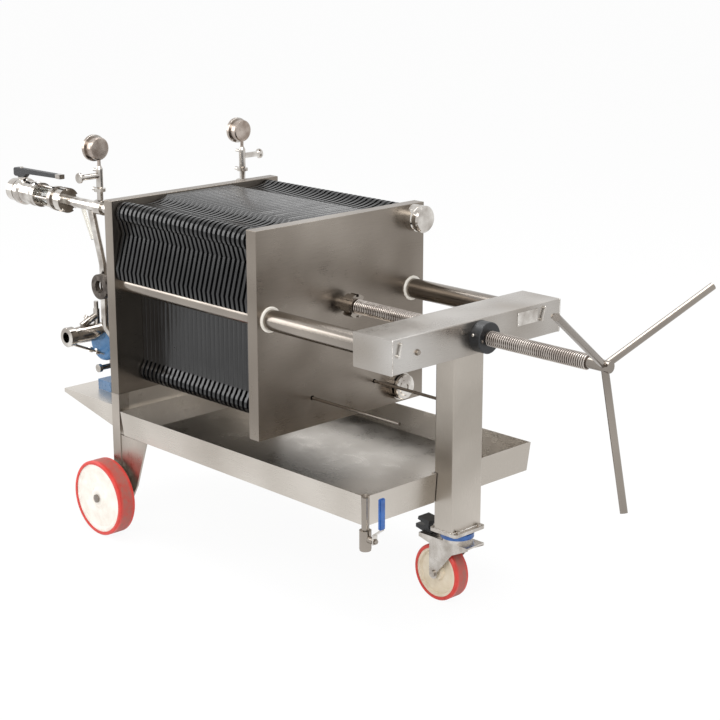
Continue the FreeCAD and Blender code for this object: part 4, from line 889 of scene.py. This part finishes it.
# outlet valve lever: steel tip and the stem screw
gripLow, gripHigh = boxes["outlet_valve_lever"]
gripY = (gripLow.y + gripHigh.y) / 2
form = bmesh.new()
slab(
    form,
    (gripHigh.x - 22 * mm, gripLow.y - 0.4 * mm, gripHigh.z - 11.6 * mm),
    (gripHigh.x + 0.4 * mm, gripHigh.y + 0.4 * mm, gripHigh.z + 0.4 * mm),
    1 * mm,
)
newPiece("leverTip", "outlet_lever", "fitting", form)
bolts(
    "leverScrew", "outlet_lever", "fitting", 4 * mm, 3 * mm,
    [((gripLow.x + 30 * mm, gripY, gripHigh.z - 2.4 * mm), (0, 0, 1))],
)
print("levers dressed")

# motor: cooling ribs around the body
motor = {"ribs": 28, "ribHeight": 4 * mm, "ribWidth": 2 * mm, "radius": 55 * mm, "front": -0.112, "back": 0.042}
shaftZ = 0.478
form = bmesh.new()
for i in range(motor["ribs"]):
    angle = 2 * math.pi * (i + 0.5) / motor["ribs"]
    if math.sin(angle) < -0.85:
        continue
    out = Vector((math.cos(angle), 0, math.sin(angle)))
    side = Vector((-out.z, 0, out.x)) * motor["ribWidth"] / 2
    corners = []
    for y in (motor["front"], motor["back"]):
        for r, s in ((motor["radius"] - 3 * mm, -1), (motor["radius"] + motor["ribHeight"], -1), (motor["radius"] + motor["ribHeight"], 1), (motor["radius"] - 3 * mm, 1)):
            spot = Vector((pumpX, y, shaftZ)) + out * r + side * s
            corners.append(form.verts.new(spot))
    form.faces.new(corners[:4])
    form.faces.new(list(reversed(corners[4:])))
    for k in range(4):
        form.faces.new((corners[k], corners[k + 4], corners[(k + 1) % 4 + 4], corners[(k + 1) % 4]))
newPiece("motorRibs", "frame", "enamel", form)
print("motor ribbed")

# stage: a white floor that keeps only a faint shadow
bpy.ops.mesh.primitive_plane_add(size=60, location=(0, 0, 0))
floor = bpy.context.object
floor.name = "floor"
floorMaterial, tree = newMaterial("paleFloor")
floorPath = addNode(tree, "ShaderNodeLightPath")
floorSeen = addNode(
    tree,
    "ShaderNodeMath",
    {"operation": "MAXIMUM"},
    {0: floorPath.outputs["Is Camera Ray"], 1: floorPath.outputs["Is Glossy Ray"]},
)
floorSeenAll = addNode(
    tree,
    "ShaderNodeMath",
    {"operation": "MAXIMUM"},
    {0: floorSeen.outputs[0], 1: floorPath.outputs["Is Transmission Ray"]},
)
floorShare = addNode(
    tree, "ShaderNodeMath", {"operation": "MULTIPLY", 1: 0.94}, {0: floorSeenAll.outputs[0]}
)
floorMatt = addNode(
    tree, "ShaderNodeBsdfPrincipled", {"Base Color": hexColour("#fcfcfc"), "Roughness": 0.9}
)
floorGlow = addNode(tree, "ShaderNodeEmission", {"Color": hexColour("#ffffff"), "Strength": 1.0})
floorMix = addNode(
    tree,
    "ShaderNodeMixShader",
    {},
    {0: floorShare.outputs[0], 1: floorMatt.outputs[0], 2: floorGlow.outputs[0]},
)
closeMaterial(tree, floorMix)
floor.data.materials.append(floorMaterial)


def softLight(name, place, aim, size, watts):
    lamp = bpy.data.lights.new(name, "AREA")
    lamp.shape = "RECTANGLE"
    lamp.size, lamp.size_y = size
    lamp.energy = watts
    lampObject = bpy.data.objects.new(name, lamp)
    bpy.context.collection.objects.link(lampObject)
    lampObject.location = place
    lampObject.rotation_euler = (Vector(aim) - Vector(place)).to_track_quat("-Z", "Y").to_euler()


softLight("keySoftbox", (2.2, -2.6, 3.2), (0, 0, 0.5), (2.6, 1.8), 75)
softLight("topSoftbox", (-0.3, 0.2, 4.0), (0, 0, 0.4), (3.5, 3.0), 165)
softLight("sideSoftbox", (-3.2, -2.2, 1.8), (0, 0, 0.5), (1.8, 2.2), 40)

world = bpy.context.scene.world or bpy.data.worlds.new("studio")
bpy.context.scene.world = world
world.use_nodes = True
tree = world.node_tree
tree.nodes.clear()
rays = addNode(tree, "ShaderNodeLightPath")
seen = addNode(
    tree,
    "ShaderNodeMath",
    {"operation": "MAXIMUM"},
    {0: rays.outputs["Is Camera Ray"], 1: rays.outputs["Is Transmission Ray"]},
)
seenAll = addNode(
    tree,
    "ShaderNodeMath",
    {"operation": "MAXIMUM"},
    {0: seen.outputs[0], 1: rays.outputs["Is Glossy Ray"]},
)
dim = addNode(tree, "ShaderNodeBackground", {"Color": hexColour("#ffffff"), "Strength": 0.62})
white = addNode(tree, "ShaderNodeBackground", {"Color": hexColour("#ffffff"), "Strength": 1.0})
both = addNode(
    tree,
    "ShaderNodeMixShader",
    {},
    {0: seenAll.outputs[0], 1: dim.outputs[0], 2: white.outputs[0]},
)
addNode(tree, "ShaderNodeOutputWorld", links={"Surface": both.outputs[0]})

lens = bpy.data.cameras.new("camera")
lens.lens = 86.47
lens.sensor_width = 36
camera = bpy.data.objects.new("camera", lens)
bpy.context.collection.objects.link(camera)
camera.location = (3.0458, -2.8325, 1.6508)
camera.rotation_euler = Euler([math.radians(a) for a in (74.643, 0, 45.736)])
bpy.context.scene.camera = camera
bpy.context.scene.view_settings.view_transform = "Standard"
